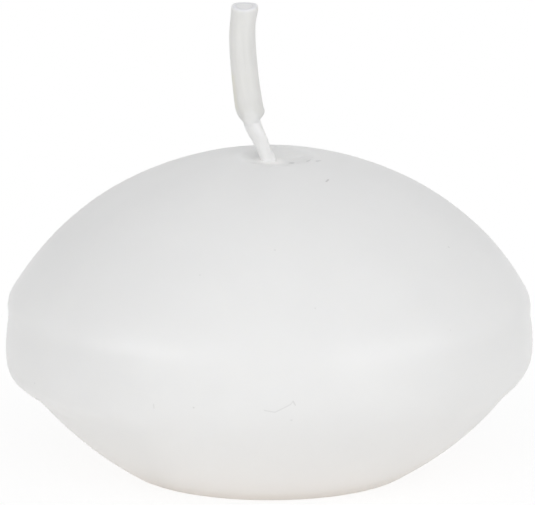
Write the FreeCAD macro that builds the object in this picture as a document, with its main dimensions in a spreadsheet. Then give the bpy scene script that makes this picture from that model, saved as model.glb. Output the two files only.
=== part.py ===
# Floating candle: a moulded wax body with a stiff cotton wick, the wax sleeve on the wick's upper end
# and the stamped metal tab that holds the wick's foot.
# Millimetres. +Z is up, the flat foot of the wax stands on Z = 0 and the body's axis is the Z axis.
# The wick leans towards -X.

import FreeCAD, Part
import math
import os

import Sketcher

# Each size that can be set by itself, in millimetres unless its name says otherwise.
SIZES = {
    # wax body, from the foot up
    "foot_radius": 11.7,
    "foot_round": 0.8,
    "bowl_arc": 29.7,
    "flank_length": 1.2,
    "flank_degrees": 38.0,
    "belt_corner": 3.3,
    "belt_height": 10.6,
    "wax_radius": 22.5,
    "belt_barrel": 15.0,
    "crease_arc": 4.0,
    "lip_inset": 0.2,
    "lip_round": 2.0,
    "lip_rise": 3.7,
    "shoulder_start": 13.8,
    "crown_arc": 26.5,
    "dome_rise": 13.3,
    # shallow dish that was pulled down round the wick
    "dish_depth": 0.8,
    "dish_arc": 9.9,
    "dish_side_shift": 0.9,
    "dish_front_shift": 0.4,
    "dish_rim_round": 0.5,
    # cotton wick; the rises are measured from the floor of the dish
    "wick_radius": 0.68,
    "wick_fit": 0.02,
    "leave_rise": 0.2,
    "leave_bend": 4.0,
    "knee_rise": 3.45,
    "knee_lean": 1.58,
    "knee_bend": 3.0,
    "shin_rise": 9.3,
    "shin_lean": 2.36,
    "shin_bend": 20.0,
    "hook_rise": 12.3,
    "hook_bend": 8.0,
    "tip_rise": 13.8,
    "tip_lean": 2.1,
    # sleeve of wax on the upper wick
    "sleeve_start": 0.5,
    "sleeve_low_radius": 1.21,
    "sleeve_top_radius": 1.13,
    "sleeve_low_round": 0.4,
    "sleeve_top_round": 0.2,
    # metal tab in the underside
    "tab_recess": 0.3,
    "tab_radius": 6.25,
    "tab_sheet": 0.25,
    "tab_fit": 0.1,
    "cone_radius": 2.6,
    "cone_rise": 0.8,
    "neck_height": 3.4,
}

doc = FreeCAD.newDocument("floating_candle")
sheet = doc.addObject("Spreadsheet::Sheet", "Sizes")
for row, (alias, number) in enumerate(SIZES.items(), start=1):
    sheet.set(f"A{row}", alias)
    sheet.set(f"B{row}", str(number))
    sheet.setAlias(f"B{row}", alias)
doc.recompute()

# Places that several pieces share, as expressions of the sheet.
CROWN = "Sizes.belt_height + Sizes.lip_rise + Sizes.dome_rise"
DISH_FLOOR = f"{CROWN} - Sizes.dish_depth"
TAB_TOP = "Sizes.tab_recess + Sizes.tab_sheet"
WICK_BORE = "Sizes.wick_radius + Sizes.wick_fit"
NECK_RADIUS = f"{WICK_BORE} + Sizes.tab_sheet"


def value(expression):
    """The number that an expression of the sheet gives now."""
    return float(sheet.evalExpression(expression))


def make_body(label):
    body = doc.addObject("PartDesign::Body", label)
    body.Label = label
    body.Placement = FreeCAD.Placement()
    return body


def make_sketch(body, name, role):
    """An empty sketch on the body's own origin plane of that role."""
    sketch = body.newObject("Sketcher::SketchObject", name)
    plane = [feature for feature in body.Origin.OriginFeatures if feature.Role == role][0]
    sketch.AttachmentSupport = [(plane, "")]
    sketch.MapMode = "FlatFace"
    return sketch


def bind(sketch, constraint, expression):
    """Adds a dimension and ties it to the sheet."""
    index = sketch.addConstraint(constraint)
    sketch.setExpression(f"Constraints[{index}]", expression)


def place_across(sketch, edge, end, expression):
    """Ties a point's distance from the upright axis to the sheet, on the side where it is drawn."""
    drawn = sketch.getPoint(edge, end).x
    if expression == "0":
        sketch.addConstraint(Sketcher.Constraint("PointOnObject", edge, end, -2))
    elif drawn < 0:
        bind(sketch, Sketcher.Constraint("DistanceX", edge, end, -1, 1, -drawn), expression)
    else:
        bind(sketch, Sketcher.Constraint("DistanceX", -1, 1, edge, end, drawn), expression)


def place_up(sketch, edge, end, expression):
    """Ties a point's height over the foot to the sheet."""
    drawn = sketch.getPoint(edge, end).y
    if expression == "0":
        sketch.addConstraint(Sketcher.Constraint("PointOnObject", edge, end, -1))
    else:
        bind(sketch, Sketcher.Constraint("DistanceY", -1, 1, edge, end, drawn), expression)


def draw_line(sketch, start, end):
    return sketch.addGeometry(Part.LineSegment(start, end), False)


def draw_arc(sketch, centre, start, end):
    """An arc drawn anticlockwise from start to end."""
    first = math.atan2(start.y - centre.y, start.x - centre.x)
    last = math.atan2(end.y - centre.y, end.x - centre.x)
    if last < first:
        last += 2 * math.pi
    circle = Part.Circle(centre, FreeCAD.Vector(0, 0, 1), (start - centre).Length)
    return sketch.addGeometry(Part.ArcOfCircle(circle, first, last), False)


def draw_outline(sketch, corners):
    """A closed outline of straight lines through corners, each given as two expressions."""
    points = []
    for across, up in corners:
        points.append(FreeCAD.Vector(value(across), value(up), 0))
    edges = []
    for number, point in enumerate(points):
        edges.append(draw_line(sketch, point, points[(number + 1) % len(points)]))
    for number, edge in enumerate(edges):
        sketch.addConstraint(Sketcher.Constraint("Coincident", edges[number - 1], 2, edge, 1))
    for edge, (across, up) in zip(edges, corners):
        place_across(sketch, edge, 1, across)
        place_up(sketch, edge, 1, up)


def draw_path(sketch, start, corners, end):
    """An open path of straight runs joined by tangent arcs.

    start and end are points given as two expressions, how far to the left and how high; a corner has the
    bend's radius as a third. A corner lies where the two runs beside it would cross.
    """
    drawn = []
    for left, up in [start] + [corner[:2] for corner in corners] + [end]:
        drawn.append(FreeCAD.Vector(-value(left), value(up), 0))
    runs = []
    bends = []
    here = drawn[0]
    for number, corner in enumerate(corners, start=1):
        before = (drawn[number] - drawn[number - 1]).normalize()
        after = (drawn[number + 1] - drawn[number]).normalize()
        turn = before.getAngle(after)
        radius = value(corner[2])
        setback = radius * math.tan(turn / 2)
        leave = drawn[number] - before * setback
        arrive = drawn[number] + after * setback
        to_left = before.cross(after).z > 0
        side = FreeCAD.Vector(-before.y, before.x, 0) * (1 if to_left else -1)
        centre = leave + side * radius
        runs.append(draw_line(sketch, here, leave))
        if to_left:
            bends.append((draw_arc(sketch, centre, leave, arrive), 1, 2))
        else:
            bends.append((draw_arc(sketch, centre, arrive, leave), 2, 1))
        here = arrive
    runs.append(draw_line(sketch, here, drawn[-1]))
    for number, (bend, near, far) in enumerate(bends):
        sketch.addConstraint(Sketcher.Constraint("Tangent", runs[number], 2, bend, near))
        sketch.addConstraint(Sketcher.Constraint("Tangent", bend, far, runs[number + 1], 1))
        mark = sketch.addGeometry(Part.Point(drawn[number + 1]), True)
        sketch.addConstraint(Sketcher.Constraint("PointOnObject", mark, 1, runs[number]))
        sketch.addConstraint(Sketcher.Constraint("PointOnObject", mark, 1, runs[number + 1]))
        left, up, radius = corners[number]
        place_across(sketch, mark, 1, left)
        place_up(sketch, mark, 1, up)
        bind(sketch, Sketcher.Constraint("Radius", bend, value(radius)), radius)
    place_across(sketch, runs[0], 1, start[0])
    place_up(sketch, runs[0], 1, start[1])
    place_across(sketch, runs[-1], 2, end[0])
    place_up(sketch, runs[-1], 2, end[1])


def draw_circle(sketch, expression):
    """A circle about the sketch's origin."""
    circle = Part.Circle(FreeCAD.Vector(0, 0, 0), FreeCAD.Vector(0, 0, 1), value(expression))
    edge = sketch.addGeometry(circle, False)
    sketch.addConstraint(Sketcher.Constraint("Coincident", edge, 3, -1, 1))
    bind(sketch, Sketcher.Constraint("Radius", edge, value(expression)), expression)


def spin(body, kind, name, sketch):
    """A full turn of the sketch about its own upright axis."""
    feature = body.newObject(kind, name)
    feature.Profile = sketch
    feature.ReferenceAxis = (sketch, ["V_Axis"])
    feature.Angle = 360
    return feature


def edges_where(shape, test):
    """Names of the shape's edges whose points all pass the test."""
    names = []
    for number, edge in enumerate(shape.Edges, start=1):
        if not edge.Degenerated and all(test(point) for point in edge.discretize(7)):
            names.append(f"Edge{number}")
    return names


# Wax body. Half of its section is drawn once: flat foot, bowl arc, the kink where the bowl meets the
# straight flank, the belt's lower corner, the belt's barrel, a shallow crease, the lip, the shoulder and
# the crown. From the flank up, each arc is tangent to the next, as the mould's wall is.
wax_body = make_body("wax_body")
section = make_sketch(wax_body, "moulded_section", "XZ_Plane")

belt_height = value("Sizes.belt_height")
wax_radius = value("Sizes.wax_radius")
flank_angle = math.radians(value("Sizes.flank_degrees"))
flank_way = FreeCAD.Vector(math.cos(flank_angle), math.sin(flank_angle), 0)
corner_radius = value("Sizes.belt_corner")
corner_centre = FreeCAD.Vector(wax_radius - corner_radius, belt_height, 0)
corner_start = corner_centre + FreeCAD.Vector(flank_way.y, -flank_way.x, 0) * corner_radius
kink = corner_start - flank_way * value("Sizes.flank_length")
foot_edge = FreeCAD.Vector(value("Sizes.foot_radius"), 0, 0)
chord = kink - foot_edge
inward = FreeCAD.Vector(-chord.y, chord.x, 0).normalize()
bowl_centre = (foot_edge + kink) * 0.5 + inward * math.sqrt(value("Sizes.bowl_arc") ** 2 - chord.Length**2 / 4)
widest = FreeCAD.Vector(wax_radius, belt_height, 0)
barrel_radius = value("Sizes.belt_barrel")
barrel_centre = FreeCAD.Vector(wax_radius - barrel_radius, belt_height, 0)
lip_radius = value("Sizes.lip_round")
lip_across = "Sizes.wax_radius - Sizes.lip_inset - Sizes.lip_round"
lip_up = "Sizes.belt_height + Sizes.lip_rise"
lip_centre = FreeCAD.Vector(value(lip_across), value(lip_up), 0)
crease_radius = value("Sizes.crease_arc")
# The crease's centre is as far from the barrel's and the lip's centres as two touching circles allow.
between = lip_centre - barrel_centre
reach_barrel = barrel_radius + crease_radius
reach_lip = lip_radius + crease_radius
along = (reach_barrel**2 - reach_lip**2 + between.Length**2) / (2 * between.Length)
aside = math.sqrt(reach_barrel**2 - along**2)
way = FreeCAD.Vector(between).normalize()
crease_centre = barrel_centre + way * along + FreeCAD.Vector(way.y, -way.x, 0) * aside
crease_low = barrel_centre + (crease_centre - barrel_centre) * (barrel_radius / reach_barrel)
crease_high = lip_centre + (crease_centre - lip_centre) * (lip_radius / reach_lip)
crown_top = FreeCAD.Vector(0, value(CROWN), 0)
crown_radius = value("Sizes.crown_arc")
crown_centre = crown_top - FreeCAD.Vector(0, crown_radius, 0)
shoulder_start = value("Sizes.shoulder_start")
crown_end = crown_centre + FreeCAD.Vector(shoulder_start, math.sqrt(crown_radius**2 - shoulder_start**2), 0)
outward = (crown_end - crown_centre).normalize()
gap = crown_end - lip_centre
shoulder_radius = (gap.dot(gap) - lip_radius**2) / (2 * (gap.dot(outward) - lip_radius))
shoulder_centre = crown_end - outward * shoulder_radius
lip_end = lip_centre + (lip_centre - shoulder_centre).normalize() * lip_radius

foot = draw_line(section, FreeCAD.Vector(0, 0, 0), foot_edge)
bowl = draw_arc(section, bowl_centre, foot_edge, kink)
flank = draw_line(section, kink, corner_start)
corner = draw_arc(section, corner_centre, corner_start, widest)
barrel = draw_arc(section, barrel_centre, widest, crease_low)
crease = draw_arc(section, crease_centre, crease_high, crease_low)
lip = draw_arc(section, lip_centre, crease_high, lip_end)
shoulder = draw_arc(section, shoulder_centre, lip_end, crown_end)
crown = draw_arc(section, crown_centre, crown_end, crown_top)
axis = draw_line(section, crown_top, FreeCAD.Vector(0, 0, 0))

section.addConstraint(Sketcher.Constraint("Coincident", foot, 1, -1, 1))
section.addConstraint(Sketcher.Constraint("Horizontal", foot))
section.addConstraint(Sketcher.Constraint("Coincident", foot, 2, bowl, 1))
section.addConstraint(Sketcher.Constraint("Coincident", bowl, 2, flank, 1))
section.addConstraint(Sketcher.Constraint("Tangent", flank, 2, corner, 1))
section.addConstraint(Sketcher.Constraint("Tangent", corner, 2, barrel, 1))
section.addConstraint(Sketcher.Constraint("Tangent", barrel, 2, crease, 2))
section.addConstraint(Sketcher.Constraint("Tangent", crease, 1, lip, 1))
section.addConstraint(Sketcher.Constraint("Tangent", lip, 2, shoulder, 1))
section.addConstraint(Sketcher.Constraint("Tangent", shoulder, 2, crown, 1))
section.addConstraint(Sketcher.Constraint("Coincident", crown, 2, axis, 1))
section.addConstraint(Sketcher.Constraint("Coincident", axis, 2, foot, 1))
section.addConstraint(Sketcher.Constraint("Horizontal", corner, 3, corner, 2))
place_across(section, foot, 2, "Sizes.foot_radius")
bind(section, Sketcher.Constraint("Radius", bowl, value("Sizes.bowl_arc")), "Sizes.bowl_arc")
bind(section, Sketcher.Constraint("Distance", flank, value("Sizes.flank_length")), "Sizes.flank_length")
bind(section, Sketcher.Constraint("Angle", -1, 1, flank, 1, flank_angle), "Sizes.flank_degrees * 1 deg")
bind(section, Sketcher.Constraint("Radius", corner, corner_radius), "Sizes.belt_corner")
place_across(section, corner, 2, "Sizes.wax_radius")
place_up(section, corner, 2, "Sizes.belt_height")
bind(section, Sketcher.Constraint("Radius", barrel, barrel_radius), "Sizes.belt_barrel")
bind(section, Sketcher.Constraint("Radius", crease, crease_radius), "Sizes.crease_arc")
bind(section, Sketcher.Constraint("Radius", lip, lip_radius), "Sizes.lip_round")
place_across(section, lip, 3, lip_across)
place_up(section, lip, 3, lip_up)
place_across(section, crown, 1, "Sizes.shoulder_start")
bind(section, Sketcher.Constraint("Radius", crown, crown_radius), "Sizes.crown_arc")
place_across(section, crown, 3, "0")
place_across(section, crown, 2, "0")
place_up(section, crown, 2, CROWN)
moulding = spin(wax_body, "PartDesign::Revolution", "moulding", section)
doc.recompute()

# The foot's edge is softened where the cast face was trimmed flat.
foot_softening = wax_body.newObject("PartDesign::Fillet", "foot_softening")
foot_softening.Base = (
    moulding,
    edges_where(
        moulding.Shape,
        lambda point: abs(point.z) < 0.001 and abs(math.hypot(point.x, point.y) - foot_edge.x) < 0.001,
    ),
)
foot_softening.setExpression("Radius", "Sizes.foot_round")
doc.recompute()

# The dish is a shallow spherical hollow, a little off the axis and towards the front.
dish_section = make_sketch(wax_body, "dish_section", "XZ_Plane")
dish_section.setExpression(".AttachmentOffset.Base.x", "Sizes.dish_side_shift")
dish_section.setExpression(".AttachmentOffset.Base.z", "Sizes.dish_front_shift")
dish_floor = FreeCAD.Vector(0, value(DISH_FLOOR), 0)
dish_centre = dish_floor + FreeCAD.Vector(0, value("Sizes.dish_arc"), 0)
dish_side = dish_centre + FreeCAD.Vector(value("Sizes.dish_arc"), 0, 0)
hollow = draw_arc(dish_section, dish_centre, dish_floor, dish_side)
lid = draw_line(dish_section, dish_side, dish_centre)
middle = draw_line(dish_section, dish_centre, dish_floor)
dish_section.addConstraint(Sketcher.Constraint("Coincident", hollow, 2, lid, 1))
dish_section.addConstraint(Sketcher.Constraint("Coincident", lid, 2, middle, 1))
dish_section.addConstraint(Sketcher.Constraint("Coincident", middle, 2, hollow, 1))
dish_section.addConstraint(Sketcher.Constraint("Coincident", hollow, 3, lid, 2))
dish_section.addConstraint(Sketcher.Constraint("Horizontal", lid))
place_across(dish_section, hollow, 1, "0")
place_up(dish_section, hollow, 1, DISH_FLOOR)
place_across(dish_section, lid, 2, "0")
bind(dish_section, Sketcher.Constraint("Radius", hollow, value("Sizes.dish_arc")), "Sizes.dish_arc")
dish = spin(wax_body, "PartDesign::Groove", "dish", dish_section)
doc.recompute()

# The dish's rim lies on the hollow's sphere and on the crown's sphere at once.
hollow_centre = FreeCAD.Vector(value("Sizes.dish_side_shift"), -value("Sizes.dish_front_shift"), dish_centre.y)
dome_centre = FreeCAD.Vector(0, 0, crown_centre.y)
dish_rim = wax_body.newObject("PartDesign::Fillet", "dish_rim")
dish_rim.Base = (
    dish,
    edges_where(
        dish.Shape,
        lambda point: abs((point - hollow_centre).Length - value("Sizes.dish_arc")) < 0.001
        and abs((point - dome_centre).Length - crown_radius) < 0.001,
    ),
)
dish_rim.setExpression("Radius", "Sizes.dish_rim_round")
doc.recompute()

# The seat for the tab follows the tab's upper side, with its fit all round.
seat_section = make_sketch(wax_body, "seat_section", "XZ_Plane")
seat_roof = f"{TAB_TOP} + Sizes.tab_fit"
seat_neck = f"{NECK_RADIUS} + Sizes.tab_fit"
draw_outline(
    seat_section,
    [
        ("0", "0"),
        ("Sizes.tab_radius + Sizes.tab_fit", "0"),
        ("Sizes.tab_radius + Sizes.tab_fit", seat_roof),
        ("Sizes.cone_radius", seat_roof),
        (seat_neck, f"{seat_roof} + Sizes.cone_rise"),
        (seat_neck, "Sizes.tab_recess + Sizes.neck_height + Sizes.tab_fit"),
        ("0", "Sizes.tab_recess + Sizes.neck_height + Sizes.tab_fit"),
    ],
)
seat = spin(wax_body, "PartDesign::Groove", "tab_seat", seat_section)
doc.recompute()

# Every piece on the wick follows the same corners.
LEAVE = ("0", f"{DISH_FLOOR} + Sizes.leave_rise", "Sizes.leave_bend")
KNEE = ("Sizes.knee_lean", f"{DISH_FLOOR} + Sizes.knee_rise", "Sizes.knee_bend")
SHIN = ("Sizes.shin_lean", f"{DISH_FLOOR} + Sizes.shin_rise", "Sizes.shin_bend")
HOOK = ("Sizes.shin_lean", f"{DISH_FLOOR} + Sizes.hook_rise", "Sizes.hook_bend")
WICK_FOOT = ("0", "Sizes.tab_recess")
WICK_TIP = ("Sizes.tip_lean", f"{DISH_FLOOR} + Sizes.tip_rise")

# The wax set round the wick, so its bore follows the wick until both are clear of the dish.
bore_path = make_sketch(wax_body, "bore_path", "XZ_Plane")
draw_path(bore_path, WICK_FOOT, [LEAVE], KNEE[:2])
bore_section = make_sketch(wax_body, "bore_section", "XY_Plane")
bore_section.setExpression(".AttachmentOffset.Base.z", "Sizes.tab_recess")
draw_circle(bore_section, WICK_BORE)
doc.recompute()
bore = wax_body.newObject("PartDesign::SubtractivePipe", "wick_bore")
bore.Profile = bore_section
bore.Spine = bore_path
doc.recompute()

# Wick: one stiff cord from the tab's underside to the cut end.
wick = make_body("wick")
wick_path = make_sketch(wick, "wick_path", "XZ_Plane")
draw_path(wick_path, WICK_FOOT, [LEAVE, KNEE, SHIN, HOOK], WICK_TIP)
wick_section = make_sketch(wick, "wick_section", "XY_Plane")
wick_section.setExpression(".AttachmentOffset.Base.z", "Sizes.tab_recess")
draw_circle(wick_section, "Sizes.wick_radius")
doc.recompute()
cord = wick.newObject("PartDesign::AdditivePipe", "cord")
cord.Profile = wick_section
cord.Spine = wick_path
doc.recompute()

# Tab: stamped from sheet, with a flat flange, a low cone and a neck that grips the wick.
wick_sustainer = make_body("wick_sustainer")
tab_section = make_sketch(wick_sustainer, "tab_section", "XZ_Plane")
draw_outline(
    tab_section,
    [
        ("Sizes.cone_radius", "Sizes.tab_recess"),
        ("Sizes.tab_radius", "Sizes.tab_recess"),
        ("Sizes.tab_radius", TAB_TOP),
        ("Sizes.cone_radius", TAB_TOP),
        (NECK_RADIUS, f"{TAB_TOP} + Sizes.cone_rise"),
        (NECK_RADIUS, "Sizes.tab_recess + Sizes.neck_height"),
        (WICK_BORE, "Sizes.tab_recess + Sizes.neck_height"),
        (WICK_BORE, "Sizes.tab_recess + Sizes.cone_rise"),
    ],
)
stamping = spin(wick_sustainer, "PartDesign::Revolution", "stamping", tab_section)
doc.recompute()

# Sleeve: wax that stayed on the wick when it was dipped. It is a tube round the wick, a little thicker at
# its foot, and its two ends are rounded; its top is cut off flush with the wick's tip.
STEP_ACROSS = "(Sizes.shin_lean - Sizes.knee_lean)"
STEP_UP = "(Sizes.shin_rise - Sizes.knee_rise)"
STEP_LENGTH = f"sqrt({STEP_ACROSS}^2 + {STEP_UP}^2)"
SLEEVE_FOOT = (
    f"Sizes.knee_lean + Sizes.sleeve_start * {STEP_ACROSS} / {STEP_LENGTH}",
    f"{DISH_FLOOR} + Sizes.knee_rise + Sizes.sleeve_start * {STEP_UP} / {STEP_LENGTH}",
)
wick_wax_coat = make_body("wick_wax_coat")
sleeve_path = make_sketch(wick_wax_coat, "sleeve_path", "XZ_Plane")
draw_path(sleeve_path, SLEEVE_FOOT, [SHIN, HOOK], WICK_TIP)
doc.recompute()
sleeve_rings = []
for name, edge_name, parameter, radius in [
    ("sleeve_low_ring", "Edge1", 0.0, "Sizes.sleeve_low_radius"),
    ("sleeve_top_ring", "Edge5", 1.0, "Sizes.sleeve_top_radius"),
]:
    ring = wick_wax_coat.newObject("Sketcher::SketchObject", name)
    ring.AttachmentSupport = [(sleeve_path, edge_name)]
    ring.MapMode = "NormalToEdge"
    ring.MapPathParameter = parameter
    draw_circle(ring, radius)
    draw_circle(ring, WICK_BORE)
    sleeve_rings.append(ring)
doc.recompute()
sleeve = wick_wax_coat.newObject("PartDesign::AdditivePipe", "sleeve")
sleeve.Profile = sleeve_rings[0]
sleeve.Spine = sleeve_path
sleeve.Transformation = "Multisection"
sleeve.Sections = [(sleeve_rings[1], "")]
doc.recompute()

# Dipped wax draws back into rounded ends. The upper one is the smaller, because it was cut.
end_base = sleeve
for name, ring, radius, softness in [
    ("sleeve_foot", sleeve_rings[0], "Sizes.sleeve_low_radius", "Sizes.sleeve_low_round"),
    ("sleeve_tip", sleeve_rings[1], "Sizes.sleeve_top_radius", "Sizes.sleeve_top_round"),
]:
    centre = ring.Placement.Base
    normal = ring.Placement.Rotation.multVec(FreeCAD.Vector(0, 0, 1))
    rounding = wick_wax_coat.newObject("PartDesign::Fillet", name)
    rounding.Base = (
        end_base,
        edges_where(
            end_base.Shape,
            lambda point: abs((point - centre).Length - value(radius)) < 0.005
            and abs((point - centre).dot(normal)) < 0.005,
        ),
    )
    wall = f"{radius} - ({WICK_BORE})"
    rounding.setExpression("Radius", f"min({softness}; 0.9 * ({wall}))")
    doc.recompute()
    end_base = rounding

for obj in doc.Objects:
    if "Invalid" in obj.State or "Error" in obj.State:
        raise RuntimeError(f"{obj.Name} did not compute: {obj.State}")
    if obj.TypeId == "Sketcher::SketchObject" and not obj.FullyConstrained:
        raise RuntimeError(f"{obj.Name} is not fully constrained")

pieces = [wax_body, wick, wick_wax_coat, wick_sustainer]
for piece in pieces:
    if piece.Shape.isNull() or not piece.Shape.isValid() or len(piece.Shape.Solids) != 1:
        raise RuntimeError(f"{piece.Label} is not one sound solid")

# A cut that pointed away from the wax would take nothing, and a sweep should hold its section times its length.
for before, after in [(foot_softening, dish), (dish_rim, seat), (seat, bore)]:
    if after.Shape.Volume > before.Shape.Volume - 1:
        raise RuntimeError(f"{after.Name} removed no wax")
cord_volume = math.pi * value("Sizes.wick_radius") ** 2 * wick_path.Shape.Length
if abs(cord.Shape.Volume / cord_volume - 1) > 0.01:
    raise RuntimeError("the cord's volume differs from its section times its length")

os.makedirs("parts", exist_ok=True)
for piece in pieces:
    piece.Shape.exportStep(f"parts/{piece.Label}.step")
    box = piece.Shape.optimalBoundingBox(False)
    print(
        f"{piece.Label}: {piece.Shape.Volume:.1f} mm3, X {box.XMin:.2f} to {box.XMax:.2f}, "
        f"Y {box.YMin:.2f} to {box.YMax:.2f}, Z {box.ZMin:.2f} to {box.ZMax:.2f}"
    )
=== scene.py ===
# %% [markdown]
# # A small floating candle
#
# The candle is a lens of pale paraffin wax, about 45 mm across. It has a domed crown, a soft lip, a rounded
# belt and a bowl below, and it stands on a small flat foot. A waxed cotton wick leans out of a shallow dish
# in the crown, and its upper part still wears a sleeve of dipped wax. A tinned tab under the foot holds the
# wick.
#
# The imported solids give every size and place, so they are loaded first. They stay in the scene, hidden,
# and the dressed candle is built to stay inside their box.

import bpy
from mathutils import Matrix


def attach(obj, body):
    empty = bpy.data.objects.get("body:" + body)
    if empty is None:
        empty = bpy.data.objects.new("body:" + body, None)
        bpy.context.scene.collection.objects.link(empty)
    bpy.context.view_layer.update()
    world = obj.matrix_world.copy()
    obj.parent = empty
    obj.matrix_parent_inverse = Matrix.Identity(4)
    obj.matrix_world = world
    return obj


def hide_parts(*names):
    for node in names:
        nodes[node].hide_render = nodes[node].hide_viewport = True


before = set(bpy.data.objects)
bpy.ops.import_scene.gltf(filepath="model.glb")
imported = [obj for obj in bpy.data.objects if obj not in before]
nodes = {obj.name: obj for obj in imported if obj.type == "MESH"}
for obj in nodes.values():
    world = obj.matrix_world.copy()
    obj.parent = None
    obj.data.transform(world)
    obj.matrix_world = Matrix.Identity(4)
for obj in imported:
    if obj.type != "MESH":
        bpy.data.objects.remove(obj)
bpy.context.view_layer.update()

import math

import bmesh
import bpy
import numpy as np
from mathutils import Vector

MM = 0.001
scene = bpy.context.scene
print("solids:", sorted(nodes))

# %% [markdown]
# ## The camera
#
# The photograph looks down on the candle by about thirteen degrees and shows no perspective to speak of. A
# very long lens, 1.6 m away, gives that flat look and is still an ordinary camera. Its focal length follows
# from the distance and from the width that the picture has to show. A nearer camera with a shorter lens
# would swell the front of the belt.

# %% Set up the camera
ELEVATION = math.radians(13.4)
CAMERA_DISTANCE = 1.6
FRAME_WIDTH = 45.58 * MM
SENSOR_WIDTH = 36.0
AIM = Vector((-0.18 * MM, 0.0, 18.86 * MM))

camera_data = bpy.data.cameras.new("camera")
camera_data.sensor_fit = "HORIZONTAL"
camera_data.sensor_width = SENSOR_WIDTH
camera_data.lens = SENSOR_WIDTH * CAMERA_DISTANCE / FRAME_WIDTH
camera_data.clip_start = 0.01
camera_data.clip_end = 50.0
camera = bpy.data.objects.new("camera", camera_data)
scene.collection.objects.link(camera)
towards_camera = Vector((0.0, -math.cos(ELEVATION), math.sin(ELEVATION)))
camera.location = AIM + CAMERA_DISTANCE * towards_camera
camera.rotation_euler = (math.pi / 2 - ELEVATION, 0.0, 0.0)
scene.camera = camera
scene.view_settings.view_transform = "Standard"
print("lens in mm:", round(camera_data.lens, 1))

# %% [markdown]
# ## Helpers for node trees
#
# Both the shapes and the finishes are node trees. One helper adds a node, sets its options and fills its
# inputs with values or links. What comes out of a node is a value that can be reckoned with: each sign adds
# a Math node, so that a formula reads as a formula. Wiring nodes by hand would work as well, but it takes
# four lines for each node.


# %% Helpers for node trees
class Value:
    """What comes out of a node. Each sign of arithmetic adds a Math node to the tree."""

    def __init__(self, socket):
        """Keeps the socket and the tree it is in."""
        self.socket = socket
        self.tree = socket.id_data

    def __add__(self, other):
        """This plus other."""
        return sums("ADD", self, other)

    def __sub__(self, other):
        """This minus other."""
        return sums("SUBTRACT", self, other)

    def __rsub__(self, other):
        """A number minus this."""
        return sums("SUBTRACT", other, self)

    def __mul__(self, other):
        """This times other."""
        return sums("MULTIPLY", self, other)

    def __truediv__(self, other):
        """This divided by other."""
        return sums("DIVIDE", self, other)

    def __rtruediv__(self, other):
        """A number divided by this."""
        return sums("DIVIDE", other, self)

    def __neg__(self):
        """This with its sign turned."""
        return sums("MULTIPLY", self, -1.0)


class Node:
    """A node whose outputs are read as values, by name or number."""

    def __init__(self, node):
        """Keeps the node."""
        self.node = node

    def __getitem__(self, key):
        """What comes out of one output."""
        return Value(self.node.outputs[key])


def link(value, socket):
    """Links a value or a plain output to an input."""
    socket.id_data.links.new(getattr(value, "socket", value), socket)


def fill(node, inputs):
    """Gives each named or numbered input of a node a constant or a link."""
    for key, value in inputs.items():
        if isinstance(value, (Value, bpy.types.NodeSocket)):
            link(value, node.inputs[key])
        else:
            node.inputs[key].default_value = value


def put(tree, kind, inputs=None, **options):
    """Adds a node, sets its options and fills its inputs."""
    node = tree.nodes.new(kind)
    for option, value in options.items():
        setattr(node, option, value)
    fill(node, inputs or {})
    return Node(node)


def tree_of(terms):
    """The tree that the first value among the terms is in."""
    return next(term.tree for term in terms if isinstance(term, Value))


def sums(operation, *terms, clamp=False):
    """One step of arithmetic on numbers and values."""
    inputs = dict(enumerate(terms))
    return put(tree_of(terms), "ShaderNodeMath", inputs, operation=operation, use_clamp=clamp)[0]


def vectors(operation, *terms, **named):
    """One step of vector arithmetic. A scale goes in by name."""
    inputs = {**dict(enumerate(terms)), **named}
    node = put(tree_of(terms), "ShaderNodeVectorMath", inputs, operation=operation)
    return node["Value" if operation in ("LENGTH", "DISTANCE", "DOT_PRODUCT") else "Vector"]


def fade(value, start, end, low=0.0, high=1.0):
    """A soft step: low before start, high after end."""
    inputs = {"Value": value, "From Min": start, "From Max": end, "To Min": low, "To Max": high}
    return put(value.tree, "ShaderNodeMapRange", inputs, interpolation_type="SMOOTHSTEP")["Result"]


def noise(place, scale, detail, roughness):
    """Soft noise from 0 to 1."""
    inputs = {"Vector": place, "Scale": scale, "Detail": detail, "Roughness": roughness}
    return put(place.tree, "ShaderNodeTexNoise", inputs)["Fac"]


def parts_of(vector):
    """The X, Y and Z of a vector."""
    return put(vector.tree, "ShaderNodeSeparateXYZ", {0: vector})


def vector_of(x=0.0, y=0.0, z=0.0):
    """A vector from its X, Y and Z."""
    return put(tree_of((x, y, z)), "ShaderNodeCombineXYZ", {0: x, 1: y, 2: z})[0]


def from_axis(place):
    """The way from the Z axis to a place, level and as long as the place is far."""
    return vectors("MULTIPLY", place, (1.0, 1.0, 0.0))


def new_tree(name, kind, inputs, outputs):
    """A node group with named sockets. Each input is (name, socket type, default)."""
    tree = bpy.data.node_groups.new(name, kind)
    for label, socket_type, default in inputs:
        socket = tree.interface.new_socket(name=label, in_out="INPUT", socket_type="NodeSocket" + socket_type)
        if default is not None:
            socket.default_value = default
    for label, socket_type in outputs:
        tree.interface.new_socket(name=label, in_out="OUTPUT", socket_type="NodeSocket" + socket_type)
    return tree, Node(tree.nodes.new("NodeGroupInput")), tree.nodes.new("NodeGroupOutput").inputs


# %% [markdown]
# ## Finishes shared by several pieces
#
# Wax is never quite even. It is a little cloudy inside, and its skin has a very fine grain. The body and
# the sleeve both need these, and also single marks, such as a scratch, a speck of dust or a stain. Each is
# a shader group with named inputs. The groups give out a mask or a normal, and the shader itself stays in
# each material. An image of wax could do the same job, but it would show its seams and couldn't be
# rescaled.

# %% Shared groups: cloudiness, fine grain and marks
FLOAT = "Float"
VECTOR = "Vector"


def in_sizes(entry):
    """The group's place, measured in its size."""
    return vectors("SCALE", entry["Place"], Scale=1.0 / entry["Size"])


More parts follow.
